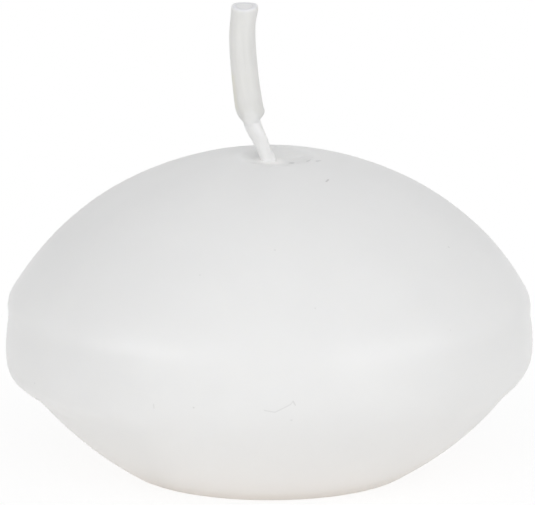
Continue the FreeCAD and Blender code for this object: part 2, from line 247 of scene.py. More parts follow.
def cloudiness_group():
    """A mask from 0 to 1 of soft clouds of the given size."""
    tree, entry, finish = new_tree(
        "wax_clouds",
        "ShaderNodeTree",
        [("Place", VECTOR, None), ("Size", FLOAT, 0.004), ("Contrast", FLOAT, 1.0)],
        [("Mask", FLOAT)],
    )
    centred = noise(in_sizes(entry), 1.0, 3.0, 0.55) - 0.5
    spread = centred * entry["Contrast"]
    link(sums("ADD", spread, 0.5, clamp=True), finish["Mask"])
    return tree


def grain_group():
    """A normal with very fine dents, for a skin of cast wax."""
    tree, entry, finish = new_tree(
        "wax_grain",
        "ShaderNodeTree",
        [("Place", VECTOR, None), ("Size", FLOAT, 0.0006), ("Depth", FLOAT, 0.00001)],
        [("Normal", VECTOR)],
    )
    fine = noise(in_sizes(entry), 1.0, 4.0, 0.6)
    bump = put(tree, "ShaderNodeBump", {"Strength": 1.0, "Distance": entry["Depth"], "Height": fine})
    link(bump["Normal"], finish["Normal"])
    return tree


def mark_group():
    """A mask of one thin mark: a short stroke, or a speck where both ends are at one place."""
    tree, entry, finish = new_tree(
        "thin_mark",
        "ShaderNodeTree",
        [
            ("Place", VECTOR, None),
            ("Start", VECTOR, (0, 0, 0)),
            ("End", VECTOR, (0, 0, 0)),
            ("Width", FLOAT, 0.0001),
            ("Strength", FLOAT, 0.3),
        ],
        [("Mask", FLOAT)],
    )
    stroke = vectors("SUBTRACT", entry["End"], entry["Start"])
    from_start = vectors("SUBTRACT", entry["Place"], entry["Start"])
    length = sums("MAXIMUM", vectors("DOT_PRODUCT", stroke, stroke), 1e-12)
    along = sums("DIVIDE", vectors("DOT_PRODUCT", from_start, stroke), length, clamp=True)
    nearest = vectors("ADD", entry["Start"], vectors("SCALE", stroke, Scale=along))
    away = vectors("DISTANCE", entry["Place"], nearest) / entry["Width"]
    link(fade(away, 0.3, 1.0, entry["Strength"], 0.0), finish["Mask"])
    return tree


CLOUDS = cloudiness_group()
GRAIN = grain_group()
MARK = mark_group()


def use_group(tree, group, inputs):
    """Places a shader group in a material."""
    return put(tree, "ShaderNodeGroup", inputs, node_tree=group)


def mark(place, start, end, width, strength):
    """The mask of one mark, with its ends and width in mm."""
    ends = {"Start": [c * MM for c in start], "End": [c * MM for c in end]}
    inputs = {"Place": place, "Width": width * MM, "Strength": strength, **ends}
    return use_group(place.tree, MARK, inputs)["Mask"]


def attribute(tree, name, output="Fac"):
    """What a piece's mesh keeps under a name."""
    return put(tree, "ShaderNodeAttribute", attribute_name=name)[output]


def new_material(name):
    """A material with its shader, ready for links. Returns the material, its tree and the shader."""
    material = bpy.data.materials.new(name)
    material.use_nodes = True
    tree = material.node_tree
    return material, tree, tree.nodes["Principled BSDF"]


def tint_between(mask, first, second):
    """A colour that goes from first to second as mask goes from 0 to 1."""
    first, second = (tint if isinstance(tint, Value) else (*tint, 1.0) for tint in (first, second))
    # Inputs 6 and 7 and output 2 are the Mix node's colours.
    return put(mask.tree, "ShaderNodeMix", {0: mask, 6: first, 7: second}, data_type="RGBA")[2]


print("shared groups:", CLOUDS.name, GRAIN.name, MARK.name)

# %% [markdown]
# ## The body's wax
#
# White paraffin lets light in a few millimetres deep and scatters it, so its shadows are soft and its thin
# edges glow. Subsurface scattering gives that look. In the dish, where the wax froze last, it is full of
# fine bubbles, so light goes less deep there. Round the wick stands a small collar, and the wax there is
# painted lighter: painted light that offsets the wick's shadow and the shade where it meets the wax. The
# skin has a soft sheen, broken by faint clouds. It is duller on the bowl, on the upper crown and in the dish,
# so that only the belt and the lip show bright bands. A plain diffuse white would look like plaster.
#
# The scratch, the specks and the dish's stains are marks at the places where the photograph shows them.
# Finer dust comes from a cell pattern, of which some cells carry one faint dot.

# %% The body's wax
WAX_IOR = 1.44
WAX_LIGHT = (0.868, 0.870, 0.868)
WAX_CLOUDY = (0.842, 0.844, 0.845)
WAX_DISH = (0.845, 0.845, 0.838)
# Painted light round the wick: a lighter wax that offsets the wick's shadow and the shade where it meets the
# wax.
WAX_PAINTED_LIGHT_AT_WICK = (0.965, 0.958, 0.948)
DUST_GREY = (0.50, 0.50, 0.50)
DUST_CELLS_PER_METRE = 190.0
DUST_DOT = (0.014, 0.030)
DUST_EMPTY_SHARE = 0.55
DUST_STRENGTH = 0.30
MARKS = [
    # start, end, width, strength in mm: the scratch below the belt, then specks and the dish's stains
    ((-0.43, -22.09, 10.46), (0.45, -22.05, 10.29), 0.085, 0.24),
    ((0.45, -22.05, 10.29), (1.76, -22.13, 10.99), 0.085, 0.24),
    ((1.76, -22.13, 10.99), (1.98, -22.15, 11.27), 0.08, 0.22),
    ((1.98, -22.15, 11.27), (2.16, -22.08, 10.91), 0.08, 0.30),
    ((1.83, -21.69, 9.51), (1.83, -21.69, 9.51), 0.15, 0.20),
    ((4.80, -5.95, 26.46), (4.98, -5.50, 26.52), 0.12, 0.60),
    ((0.45, -15.29, 22.72), (0.45, -15.29, 22.72), 0.11, 0.30),
    ((3.84, -19.21, 18.61), (3.84, -19.21, 18.61), 0.11, 0.25),
    ((-5.89, -16.56, 20.85), (-5.89, -16.56, 20.85), 0.10, 0.25),
    ((-9.78, -19.83, 10.41), (-9.75, -19.75, 10.10), 0.10, 0.22),
    ((-6.40, -21.16, 10.47), (-6.40, -21.16, 10.47), 0.12, 0.35),
    ((-19.93, -9.98, 9.84), (-19.93, -9.98, 9.84), 0.12, 0.30),
    ((15.28, -15.15, 15.72), (15.28, -15.15, 15.72), 0.10, 0.20),
    ((1.82, -0.45, 26.80), (1.90, -0.47, 26.80), 0.32, 0.52),
    ((3.27, -0.73, 27.04), (3.40, -0.73, 27.05), 0.24, 0.40),
    ((4.03, -1.40, 27.15), (4.25, -1.30, 27.15), 0.22, 0.36),
]
# Roughness: the belt's own, and what the clouds, the bowl, the upper crown and the dish add.
SHEEN = 0.28
CLOUDS_DULL = 0.03
BOWL_DULL = 0.20
CROWN_DULL = 0.10
DISH_DULL = 0.15
# The next three are heights in metres where a fade starts and ends, or distances from the axis.
BOWL_FADE = (0.0080, 0.0115)
CROWN_FADE = (0.0175, 0.0210)
PAINTED_LIGHT_AT_WICK_FADE = (0.0008, 0.0015)
# How deep light goes, in metres, and which share of it goes in: near the wick first, then in the clear wax.
SCATTER = (0.00025, 0.005)
SCATTER_FADE = (0.0012, 0.010)
SCATTER_SHARE = (0.25, 1.0)
SHARE_FADE = (0.0012, 0.0028)


def dust(tree, place):
    """A mask of faint dots, one in the middle of some of the cells."""
    cells = put(tree, "ShaderNodeTexVoronoi", {"Vector": place, "Scale": DUST_CELLS_PER_METRE})
    dot = fade(cells["Distance"], *DUST_DOT, 1.0, 0.0)
    chance = put(tree, "ShaderNodeSeparateColor", {0: cells["Color"]})[0]
    filled = sums("GREATER_THAN", chance, DUST_EMPTY_SHARE)
    return dot * filled * DUST_STRENGTH


def body_wax():
    """Cloudy paraffin with dust, a scratch, a frothy dish and painted light round the wick."""
    material, tree, shader = new_material("moulded_paraffin")
    place = put(tree, "ShaderNodeTexCoord")["Object"]
    height = parts_of(place)["Z"]
    radius = vectors("LENGTH", from_axis(place))
    dish = attribute(tree, "dish")
    clouds = use_group(tree, CLOUDS, {"Place": place, "Size": 0.009, "Contrast": 1.6})["Mask"]
    fine_clouds = use_group(tree, CLOUDS, {"Place": place, "Size": 0.0007, "Contrast": 3.0})["Mask"]
    marks = dust(tree, place)
    for start, end, width, strength in MARKS:
        marks = sums("MAXIMUM", marks, mark(place, start, end, width, strength))
    wax = tint_between(clouds, WAX_LIGHT, WAX_CLOUDY)
    wax = tint_between(dish * fine_clouds, wax, WAX_DISH)
    wax = tint_between(marks, wax, DUST_GREY)
    # Painted light: the wax round the wick is lighter, to offset the wick's shadow and the shade at its foot.
    wax = tint_between(fade(radius, *PAINTED_LIGHT_AT_WICK_FADE, 1.0, 0.0), wax, WAX_PAINTED_LIGHT_AT_WICK)
    rough = clouds * CLOUDS_DULL + SHEEN
    rough = rough + fade(height, *BOWL_FADE, BOWL_DULL, 0.0)
    rough = rough + fade(height, *CROWN_FADE, 0.0, CROWN_DULL)
    rough = dish * DISH_DULL + rough
    grain = use_group(tree, GRAIN, {"Place": place, "Size": 0.0009, "Depth": 0.000012})["Normal"]
    fill(shader, {
        "Base Color": wax,
        "Roughness": rough,
        "Normal": grain,
        "IOR": WAX_IOR,
        "Subsurface Weight": fade(radius, *SHARE_FADE, *SCATTER_SHARE),
        "Subsurface Radius": (1.0, 0.99, 0.97),
        "Subsurface Scale": fade(radius, *SCATTER_FADE, *SCATTER),
    })
    return material


BODY_WAX = body_wax()
print("material:", BODY_WAX.name)

# %% [markdown]
# ## The sleeve's wax
#
# The wick was dipped, and the thin wax round it is half clear. The braid shows through as faint streaks
# along the wick, and the colour is a greyer, warmer white than the body's. The streaks are read from an
# attribute that runs round and along the sleeve, so they follow its bend. At the sleeve's foot the wax
# thins out in a tongue and lets the white cotton through. That lighter colour is also painted light, which
# lifts the shade on the foot's lower sides. The cut end is painted lighter and cooler, a painted cool light
# on its upward face, and a faint yellow stain lies on the left.

# %% The sleeve's wax
SLEEVE_CLEAR = (0.752, 0.752, 0.735)
SLEEVE_CLOUDY = (0.842, 0.840, 0.825)
# Lighter where the wax is thin, and partly painted light that lifts the shade on the foot's lower sides.
SLEEVE_THIN_AND_PAINTED_LIGHT = (0.955, 0.955, 0.950)
# Painted cool light on the cut end: lighter and bluer than the sleeve's wax.
SLEEVE_CUT_PAINTED_LIGHT = (0.870, 0.872, 0.905)
SLEEVE_STAIN = (0.80, 0.785, 0.70)
STAIN = {"start": (-3.15, -0.4, 31.8), "end": (-3.35, -0.4, 34.2), "width": 0.8, "strength": 0.7}
STREAK_SHORTENED = (1.0, 1.0, 0.09)
STREAK_SHARE = 0.6


def sleeve_wax():
    """Half clear wax with streaks along the wick, blotches and a stain."""
    material, tree, shader = new_material("dipped_paraffin")
    place = put(tree, "ShaderNodeTexCoord")["Object"]
    run = vectors("MULTIPLY", attribute(tree, "run", "Vector"), STREAK_SHORTENED)
    thin = attribute(tree, "thin")
    streaks = use_group(tree, CLOUDS, {"Place": run, "Size": 0.00055, "Contrast": 2.4})["Mask"]
    blotches = use_group(tree, CLOUDS, {"Place": place, "Size": 0.0022, "Contrast": 2.0})["Mask"]
    streaks = streaks * STREAK_SHARE
    blend = blotches * (1.0 - STREAK_SHARE) + streaks
    wax = tint_between(blend, SLEEVE_CLEAR, SLEEVE_CLOUDY)
    wax = tint_between(mark(place, **STAIN), wax, SLEEVE_STAIN)
    # The thin tongue lets the cotton show, and is also painted light on the foot's shaded lower sides.
    wax = tint_between(thin, wax, SLEEVE_THIN_AND_PAINTED_LIGHT)
    # Painted cool light: the cut end is lighter and bluer.
    wax = tint_between(attribute(tree, "cut"), wax, SLEEVE_CUT_PAINTED_LIGHT)
    fill(shader, {
        "Base Color": wax,
        "Roughness": blotches * 0.12 + 0.30,
        "Normal": use_group(tree, GRAIN, {"Place": run, "Size": 0.0003, "Depth": 0.00001})["Normal"],
        "IOR": WAX_IOR,
        "Subsurface Weight": thin * -0.35 + 0.4,
        "Subsurface Radius": (1.0, 0.97, 0.9),
        "Subsurface Scale": 0.0005,
    })
    return material


SLEEVE_WAX = sleeve_wax()
print("material:", SLEEVE_WAX.name)

# %% [markdown]
# ## The wick's cotton
#
# The bare stretch of wick is bleached cotton, soaked with wax. Its threads catch the light more than the
# sleeve does. The wick keeps its straight shape as an attribute, and from it the shader knows which strand
# is on top and which way its fibres run, so that they follow the braid round every bend. The valleys between
# the strands are painted darker, a painted shade, and the cut end is painted lighter and cooler, a painted
# cool light. Less light goes into the wick low in the dish than under the sleeve, because the body's wax
# round it would darken it there.

# %% The wick's cotton
COTTON_LIGHT = (0.965, 0.965, 0.962)
# Darker cotton, used both for the painted shade in the braid's valleys and for the fibre streaks.
COTTON_PAINTED_SHADE_AND_STREAKS = (0.885, 0.885, 0.88)
# Painted cool light on the wick's cut end: lighter and bluer than the cotton.
COTTON_CUT_PAINTED_LIGHT = (0.975, 0.978, 0.995)
COTTON_SHARE = (0.15, 0.7)
COTTON_FADE = (27.0 * MM, 29.5 * MM)
BRAID_PITCH = 16.0 * MM
BRAID_STRANDS = 3.0
FIBRES_ROUND = 42.0


def wick_cotton():
    """Cotton whose fine fibres wind with the upper strand of the braid."""
    material, tree, shader = new_material("waxed_cotton")
    run = attribute(tree, "run", "Vector")
    parts = parts_of(run)
    angle = sums("ARCTAN2", parts["Y"], parts["X"])
    turn = parts["Z"] * (2 * math.pi / BRAID_PITCH)
    way = attribute(tree, "over") * -2.0 + 1.0
    along = angle + turn * way
    wave = sums("SINE", along * FIBRES_ROUND)
    fibres = wave * 0.5 + 0.5
    clouds = use_group(tree, CLOUDS, {"Place": run, "Size": 0.0006, "Contrast": 2.0})["Mask"]
    # Painted shade: the cotton is darker in the valleys between the strands.
    painted_valley_shade = fade(attribute(tree, "ridge"), 0.1, 0.7, 1.0, 0.0) * 0.5
    streaks = fibres * clouds * 0.35
    shade = sums("ADD", painted_valley_shade, streaks, clamp=True)
    cotton = tint_between(shade, COTTON_LIGHT, COTTON_PAINTED_SHADE_AND_STREAKS)
    bump = put(tree, "ShaderNodeBump", {"Strength": 0.35, "Distance": 0.00001, "Height": fibres})
    fill(shader, {
        # Painted cool light: the cut end of the cotton is lighter and bluer.
        "Base Color": tint_between(attribute(tree, "cut"), cotton, COTTON_CUT_PAINTED_LIGHT),
        "Roughness": clouds * 0.2 + 0.40,
        "Normal": bump["Normal"],
        "Subsurface Weight": fade(parts["Z"], *COTTON_FADE, *COTTON_SHARE),
        "Subsurface Radius": (1.0, 0.98, 0.95),
        "Subsurface Scale": 0.0002,
    })
    return material


COTTON = wick_cotton()
print("material:", COTTON.name)

# %% [markdown]
# ## The tab's metal
#
# The tab is stamped from tinned sheet. It is dull, with faint rings from the press and small smears of wax.
# Noise that is read along the distance from the axis alone gives the rings, and plain noise gives the
# smears.

# %% The tab's metal
TIN_LIGHT = (0.66, 0.66, 0.67)
TIN_DARK = (0.50, 0.50, 0.51)
TIN_WAXED = (0.78, 0.78, 0.77)
RINGS_CLOSER = 9.0


def tinned_steel():
    """Dull tin with rings from the press and a few smears of wax."""
    material, tree, shader = new_material("tinned_steel")
    place = put(tree, "ShaderNodeTexCoord")["Object"]
    radius = vectors("LENGTH", from_axis(place))
    ring = vector_of(radius * RINGS_CLOSER)
    rings = use_group(tree, CLOUDS, {"Place": ring, "Size": 0.0009, "Contrast": 2.5})["Mask"]
    smears = use_group(tree, CLOUDS, {"Place": place, "Size": 0.0016, "Contrast": 1.8})["Mask"]
    waxed = fade(smears, 0.60, 0.95, 0.0, 0.6)
    metal = tint_between(rings, TIN_LIGHT, TIN_DARK)
    bump = put(tree, "ShaderNodeBump", {"Strength": 0.4, "Distance": 0.00001, "Height": rings})
    fill(shader, {
        "Base Color": tint_between(waxed, metal, TIN_WAXED),
        "Metallic": waxed * -0.6 + 1.0,
        "Roughness": smears * 0.25 + 0.30,
        "Normal": bump["Normal"],
    })
    return material


TIN = tinned_steel()
print("material:", TIN.name)

# %% [markdown]
# ## A shape turned on its axis
#
# All four pieces are round, so each is a section that is turned about an axis. The section is a line of
# points, its X the radius and its Z the height. A geometry node group lays a grid of faces, one column for
# each turn and one row for each point, and moves every corner to its place. The Screw modifier turns a
# profile too, but the tree lets the same shape be dented and bent in one go.


# %% The turning group and its helpers
GEOMETRY = "Geometry"
INT = "Int"


def position(tree):
    """Where each point of the mesh is."""
    return put(tree, "GeometryNodeInputPosition")[0]


def store(tree, geometry, name, value, data_type="FLOAT"):
    """Keeps a value on each point under a name."""
    inputs = {"Geometry": geometry, "Name": name, "Value": value}
    node = put(tree, "GeometryNodeStoreNamedAttribute", inputs, data_type=data_type, domain="POINT")
    return node[0]


def kept_number(tree, name):
    """A number that each point keeps under a name."""
    node = put(tree, "GeometryNodeInputNamedAttribute", {"Name": name}, data_type="FLOAT")
    return node["Attribute"]


def value_at(tree, geometry, value, index, data_type):
    """A value of another mesh, at its point with this index."""
    inputs = {"Geometry": geometry, "Value": value, "Index": index}
    return put(tree, "GeometryNodeSampleIndex", inputs, data_type=data_type, domain="POINT")[0]


def move(tree, geometry, **where):
    """Moves each point by an Offset, or to a Position."""
    return put(tree, "GeometryNodeSetPosition", {"Geometry": geometry, **where})[0]


def sub_tree(tree, group, inputs):
    """Places a geometry group in another tree."""
    return put(tree, "GeometryNodeGroup", inputs, node_tree=group)


def turning_group():
    """Turns a section about Z. A closing row joins its last point to its first."""
    tree, entry, finish = new_tree(
        "turned_section",
        "GeometryNodeTree",
        [("Section", GEOMETRY, None), ("Turns", INT, 96), ("Closing Rows", INT, 1)],
        [("Mesh", GEOMETRY)],
    )
    size = put(tree, "GeometryNodeAttributeDomainSize", {0: entry["Section"]}, component="MESH")
    count = size["Point Count"]
    rows = count + entry["Closing Rows"]
    columns = entry["Turns"] + 1
    grid = put(tree, "GeometryNodeMeshGrid", {"Vertices X": columns, "Vertices Y": rows})
    index = put(tree, "GeometryNodeInputIndex")[0]
    column = sums("FLOOR", index / rows)
    row = sums("MODULO", sums("MODULO", index, rows), count)
    angle = column / entry["Turns"] * (2 * math.pi)
    point = parts_of(value_at(tree, entry["Section"], position(tree), row, "FLOAT_VECTOR"))
    x = point["X"] * sums("COSINE", angle)
    y = point["X"] * sums("SINE", angle)
    numbered = store(tree, grid["Mesh"], "row", row)
    turned = move(tree, numbered, Position=vector_of(x, y, point["Z"]))
    merged = put(tree, "GeometryNodeMergeByDistance", {"Geometry": turned, "Distance": 1e-7})
    link(merged[0], finish["Mesh"])
    return tree


def turned_mesh(tree, entry, **more):
    """A shape tree's own section, turned as often as its input says."""
    inputs = {"Section": entry["Section"], "Turns": entry["Turns"], **more}
    return sub_tree(tree, TURNED, inputs)["Mesh"]


def run_tree(tree, name, source, values):
    """Runs a tree on a source object and keeps the result as a plain mesh object."""
    modifier = source.modifiers.new("shape", "NODES")
    modifier.node_group = tree
    for item in tree.interface.items_tree:
        if item.item_type == "SOCKET" and item.in_out == "INPUT" and item.name in values:
            modifier[item.identifier] = values[item.name]
    depsgraph = bpy.context.evaluated_depsgraph_get()
    mesh = bpy.data.meshes.new_from_object(
        source.evaluated_get(depsgraph), preserve_all_data_layers=True, depsgraph=depsgraph
    )
    source.modifiers.remove(modifier)
    bpy.data.objects.remove(source)
    mesh.name = name
    piece = bpy.data.objects.new(name, mesh)
    scene.collection.objects.link(piece)
    return piece


def line_object(name, rows, softening=None):
    """A mesh that is a line of points, one for each row of radius and height in mm."""
    mesh = bpy.data.meshes.new(name)
    points = [(radius * MM, 0.0, height * MM) for radius, height in rows]
    mesh.from_pydata(points, [(i, i + 1) for i in range(len(points) - 1)], [])
    if softening is not None:
        kept = mesh.attributes.new("softening", "FLOAT", "POINT")
        kept.data.foreach_set("value", [amount * MM for amount in softening])
    source = bpy.data.objects.new(name, mesh)
    scene.collection.objects.link(source)
    return source


def report(piece):
    """Prints how large a piece is, its volume, and how many of its edges are open."""
    work = bmesh.new()
    work.from_mesh(piece.data)
    open_edges = sum(1 for edge in work.edges if len(edge.link_faces) != 2)
    volume = work.calc_volume(signed=True) / MM**3
    triangles = sum(len(face.verts) - 2 for face in work.faces)
    work.free()
    box = np.array([vertex.co for vertex in piece.data.vertices]) / MM
    low, high = box.min(0).round(2), box.max(0).round(2)
    print(f"{piece.name}: {triangles} triangles, {volume:.1f} mm3, open edges {open_edges},", low, high)


TURNED = turning_group()
print("groups:", TURNED.name)

# %% [markdown]
# ## The body's section
#
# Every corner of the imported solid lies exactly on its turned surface, so the radius and height of its
# corners give the section back. They are put in order round a point inside the section. The underside is
# left out, and so is the dish, because it isn't centred and is pressed in afterwards. The same section
# could be typed in again, but then it wouldn't follow the solid.


# %% Read the section from the solid
def smooth_line(points, spacing):
    """Points on a smooth line through the given points, about spacing apart."""
    points = np.asarray(points, float)
    knots = np.r_[0.0, np.cumsum(np.hypot(*np.diff(points, axis=0).T))]
    slopes = np.gradient(points, knots, axis=0)
    count = max(2, int(round(knots[-1] / spacing)) + 1)
    wanted = np.linspace(0.0, knots[-1], count)
    piece = np.clip(np.searchsorted(knots, wanted, side="right") - 1, 0, len(knots) - 2)
    reach = (knots[piece + 1] - knots[piece])[:, None]
    t = ((wanted - knots[piece]) / reach[:, 0])[:, None]
    start, end = points[piece], points[piece + 1]
    return (
        start * (2 * t**3 - 3 * t**2 + 1)
        + slopes[piece] * reach * (t**3 - 2 * t**2 + t)
        + end * (3 * t**2 - 2 * t**3)
        + slopes[piece + 1] * reach * (t**3 - t**2)
    )


def eased_corners(corners, reach):
    """A line of corners with each inner corner cut to a small soft bend."""
    corners = [np.asarray(corner, float) for corner in corners]
    points = [corners[0]]
    for before, corner, after in zip(corners, corners[1:], corners[2:]):
        to_before, to_after = before - corner, after - corner
        cut = min(reach, 0.4 * np.linalg.norm(to_before), 0.4 * np.linalg.norm(to_after))
        first = corner + to_before / np.linalg.norm(to_before) * cut
        last = corner + to_after / np.linalg.norm(to_after) * cut
        points += [first, 0.25 * first + 0.5 * corner + 0.25 * last, last]
    return points + [corners[-1]]


# All in mm. Corners within the first radius are the dish's. Low ones within the second are the underside's.
DISH_WITHIN = 5.3
FOOT_WITHIN = 11.4
FOOT_BELOW = 10.0
INSIDE_POINT = (8.0, 12.0)
NEAREST_APART = 0.05

corners = np.array([vertex.co for vertex in nodes["wax_body"].data.vertices])
radii = np.hypot(corners[:, 0], corners[:, 1])
skin = np.unique(np.round(np.c_[radii, corners[:, 2]] / MM, 3), axis=0)
skin = skin[(skin[:, 0] > DISH_WITHIN) & ((skin[:, 0] > FOOT_WITHIN) | (skin[:, 1] > FOOT_BELOW))]
skin = skin[np.argsort(np.arctan2(skin[:, 1] - INSIDE_POINT[1], skin[:, 0] - INSIDE_POINT[0]))]
skin = skin[np.r_[True, np.hypot(*np.diff(skin, axis=0).T) > NEAREST_APART]]
print("section points read:", len(skin), "from", skin[0], "to", skin[-1])

# %% [markdown]
# A smooth line through these points gives as many rows as the turned mesh needs. It is drawn finer where
# the body turns sharply, at the foot's edge, the corner, the belt, the crease and the lip, and coarser on
# the calm bowl and crown. That keeps the mesh under its limit of faces. The crown is carried on as its own
# sphere to the wick, and the bore and the tab's seat follow as plain rows.

# %% Lay out the body's rows
# All in mm. The first three are places on the skin where one spacing gives way to the next.
FOOT_ROUND_END = 12.42
KINK = (20.29, 7.26)
LIP = (21.47, 16.23)
CROWN_RADIUS = 26.5
CROWN_TOP = 27.6
BORE = 0.62
MOUTH = 0.52
FOOT_SPACING, BOWL_SPACING, MIDDLE_SPACING, CROWN_SPACING = 0.10, 0.42, 0.16, 0.40
DISH_ROWS = 42
MOUTH_HEIGHTS = (25.0, 26.0)
BORE_HEIGHTS = (26.4, 26.0, *np.linspace(25.0, 11.0, 10))
SEAT = [
    (BORE, 9.0), (BORE, 3.8), (1.05, 3.8), (1.05, 1.45), (2.6, 0.65), (6.35, 0.65), (6.35, 0.0), (9.0, 0.0),
]


def crown_height(radius):
    """How high the crown's sphere is at a radius."""
    return CROWN_TOP - CROWN_RADIUS + math.sqrt(CROWN_RADIUS**2 - radius**2)


def nearest_on_skin(place):
    """Which point of the skin is nearest to a place."""
    return int(np.argmin(np.hypot(skin[:, 0] - place[0], skin[:, 1] - place[1])))


foot_end = int(np.argmin(np.abs(skin[:, 0] - FOOT_ROUND_END)))
kink, lip = nearest_on_skin(KINK), nearest_on_skin(LIP)
seat_rows = eased_corners(SEAT, 0.14)
foot_round = smooth_line(skin[: foot_end + 1], FOOT_SPACING)
bowl = smooth_line(skin[foot_end: kink + 1], BOWL_SPACING)
middle = smooth_line(skin[kink: lip + 1], MIDDLE_SPACING)
crown = smooth_line(skin[lip:], CROWN_SPACING)
dish_radii = np.linspace(crown[-1][0], MOUTH + 0.02, DISH_ROWS)[1:]
dish_rows = [(radius, crown_height(radius)) for radius in dish_radii]
bore_rows = [(float(np.interp(height, MOUTH_HEIGHTS, (BORE, MOUTH))), height) for height in BORE_HEIGHTS]
rows = [*seat_rows, *foot_round, *bowl[1:], *middle[1:], *crown[1:], *dish_rows, *bore_rows]
print("rows in the body's section:", len(rows))

# %% [markdown]
# ## Where the body is worn soft
#
# The solid has its crease and its kink all round, as the mould gave them. In the photograph they are crisp
# near the sides alone and melt away in front. So each row also gets a softening, which is how far it moves
# when the section is smoothed by a wide bell. The body's tree then uses all of it in front and behind, and
# less and less towards the sides. Smoothing the finished mesh would wear the foot and the dish too.

# %% Work out the softening
# All in mm. The side of the section lies between these heights and beyond the first radius, and only rows
# beyond the second are moved. Then come the softening's ends, its ease and its bell.
SIDE_HEIGHTS = (1.4, 23.6)
SIDE_RADIUS = 12.5
SOFT_RADIUS = 15.0
SOFT_FROM, SOFT_TO = 1.8, 20.4
SOFT_EASE = 3.0
SOFT_SPREAD = 1.9
STEP = 0.05


def softening_of(rows):
    """How far each row moves out where the crease and the kink are worn soft, in mm."""
    heights = np.arange(*SIDE_HEIGHTS, STEP)
    side = np.array([row for row in rows if row[0] > SIDE_RADIUS])
    side = side[np.argsort(side[:, 1])]
    crisp = np.interp(heights, side[:, 1], side[:, 0])
    steps = round(3 * SOFT_SPREAD / STEP)
    reach = np.arange(-steps, steps + 1) * STEP
    weights = np.exp(-((reach / SOFT_SPREAD) ** 2) / 2)
    padded = np.pad(crisp, steps, mode="reflect", reflect_type="odd")
    soft = np.convolve(padded, weights / weights.sum(), mode="valid")
    share = np.clip((heights - SOFT_FROM) / SOFT_EASE, 0, 1) * np.clip((SOFT_TO - heights) / SOFT_EASE, 0, 1)
    change = (soft - crisp) * share**2 * (3 - 2 * share)
    return [float(np.interp(z, heights, change)) if r > SOFT_RADIUS else 0.0 for r, z in rows]


softening = softening_of(rows)
body_source = line_object("body_section", rows, softening)
print("softening in mm, from", round(min(softening), 3), "to", round(max(softening), 3))

# %% [markdown]
# ## Groups for soft pushes
#
# A cast candle is never a perfect turning. The two halves of its mould stood a little out of line, the dish
# froze rough with a few pits, and a collar of wax climbed the wick. Each of these is a soft push on the
# turned mesh. Two small groups say what a push is: a swelling on one side at one height, and a round dent
# at one place. Sculpting by hand would give the same marks, but the numbers here can be read and changed.


# %% Groups for soft pushes
def bell(distance, spread):
    """1 at no distance, and falling softly to 0."""
    away = distance / spread
    return sums("EXPONENT", -(away * away))


def outward(place):
    """The direction from the Z axis to a place."""
    return vectors("NORMALIZE", from_axis(place))


def swelling_group():
    """An outward push on one side of a turned shape, round one height."""
    tree, entry, finish = new_tree(
        "soft_swelling",
        "GeometryNodeTree",
        [
            ("Side", VECTOR, (1, 0, 0)),
            ("Height", FLOAT, 0.0),
            ("Spread", FLOAT, 0.001),
            ("Amount", FLOAT, 0.0),
        ],
        [("Push", VECTOR)],
    )
    place = position(tree)
    out = outward(place)
    near = bell(parts_of(place)["Z"] - entry["Height"], entry["Spread"])
    facing = sums("MAXIMUM", vectors("DOT_PRODUCT", out, entry["Side"]), 0.0)
    share = facing * facing * near
    push = vectors("SCALE", out, Scale=share * entry["Amount"])
    link(push, finish["Push"])
    return tree


def dent_group():
    """A downward push round one place."""
    tree, entry, finish = new_tree(
        "soft_dent",
        "GeometryNodeTree",
        [("Centre", VECTOR, (0, 0, 0)), ("Radius", FLOAT, 0.0003), ("Depth", FLOAT, 0.0001)],
        [("Push", VECTOR)],
    )
    near = bell(vectors("DISTANCE", position(tree), entry["Centre"]), entry["Radius"])
    drop = -(near * entry["Depth"])
    link(vector_of(z=drop), finish["Push"])
    return tree


SWELLING = swelling_group()
DENT = dent_group()


def swelling(tree, side, height, spread, amount):
    """The push of one swelling. Lengths are in metres."""
    inputs = {"Side": side, "Height": height, "Spread": spread, "Amount": amount}
    return sub_tree(tree, SWELLING, inputs)["Push"]


def dent(tree, centre, radius, depth):
    """The push of one dent. Lengths are in mm."""
    inputs = {"Centre": [c * MM for c in centre], "Radius": radius * MM, "Depth": depth * MM}
    return sub_tree(tree, DENT, inputs)["Push"]


def add_up(pushes):
    """All the pushes together."""
    total = pushes[0]
    for push in pushes[1:]:
        total = vectors("ADD", total, push)
    return total


def finish_tree(tree, mesh, material, output):
    """Every shape tree ends the same way: smooth faces, no instances, one material."""
    smooth = put(tree, "GeometryNodeSetShadeSmooth", {"Geometry": mesh})[0]
    real = put(tree, "GeometryNodeRealizeInstances", {"Geometry": smooth})[0]
    dressed = put(tree, "GeometryNodeSetMaterial", {"Geometry": real, "Material": material})
    link(dressed[0], output)


print("groups:", SWELLING.name, DENT.name)

# %% [markdown]
# ## The body
#
# The tree turns the section, wears the crease and the kink soft, pushes the sides, presses the dish in as a
# ball would, roughens its floor, raises the collar round the wick and lets the whole skin waver by a few
# hundredths of a millimetre. The dish keeps a mask that the wax material reads. The skin's waver goes
# inwards, so that the body stays inside its solid's box.

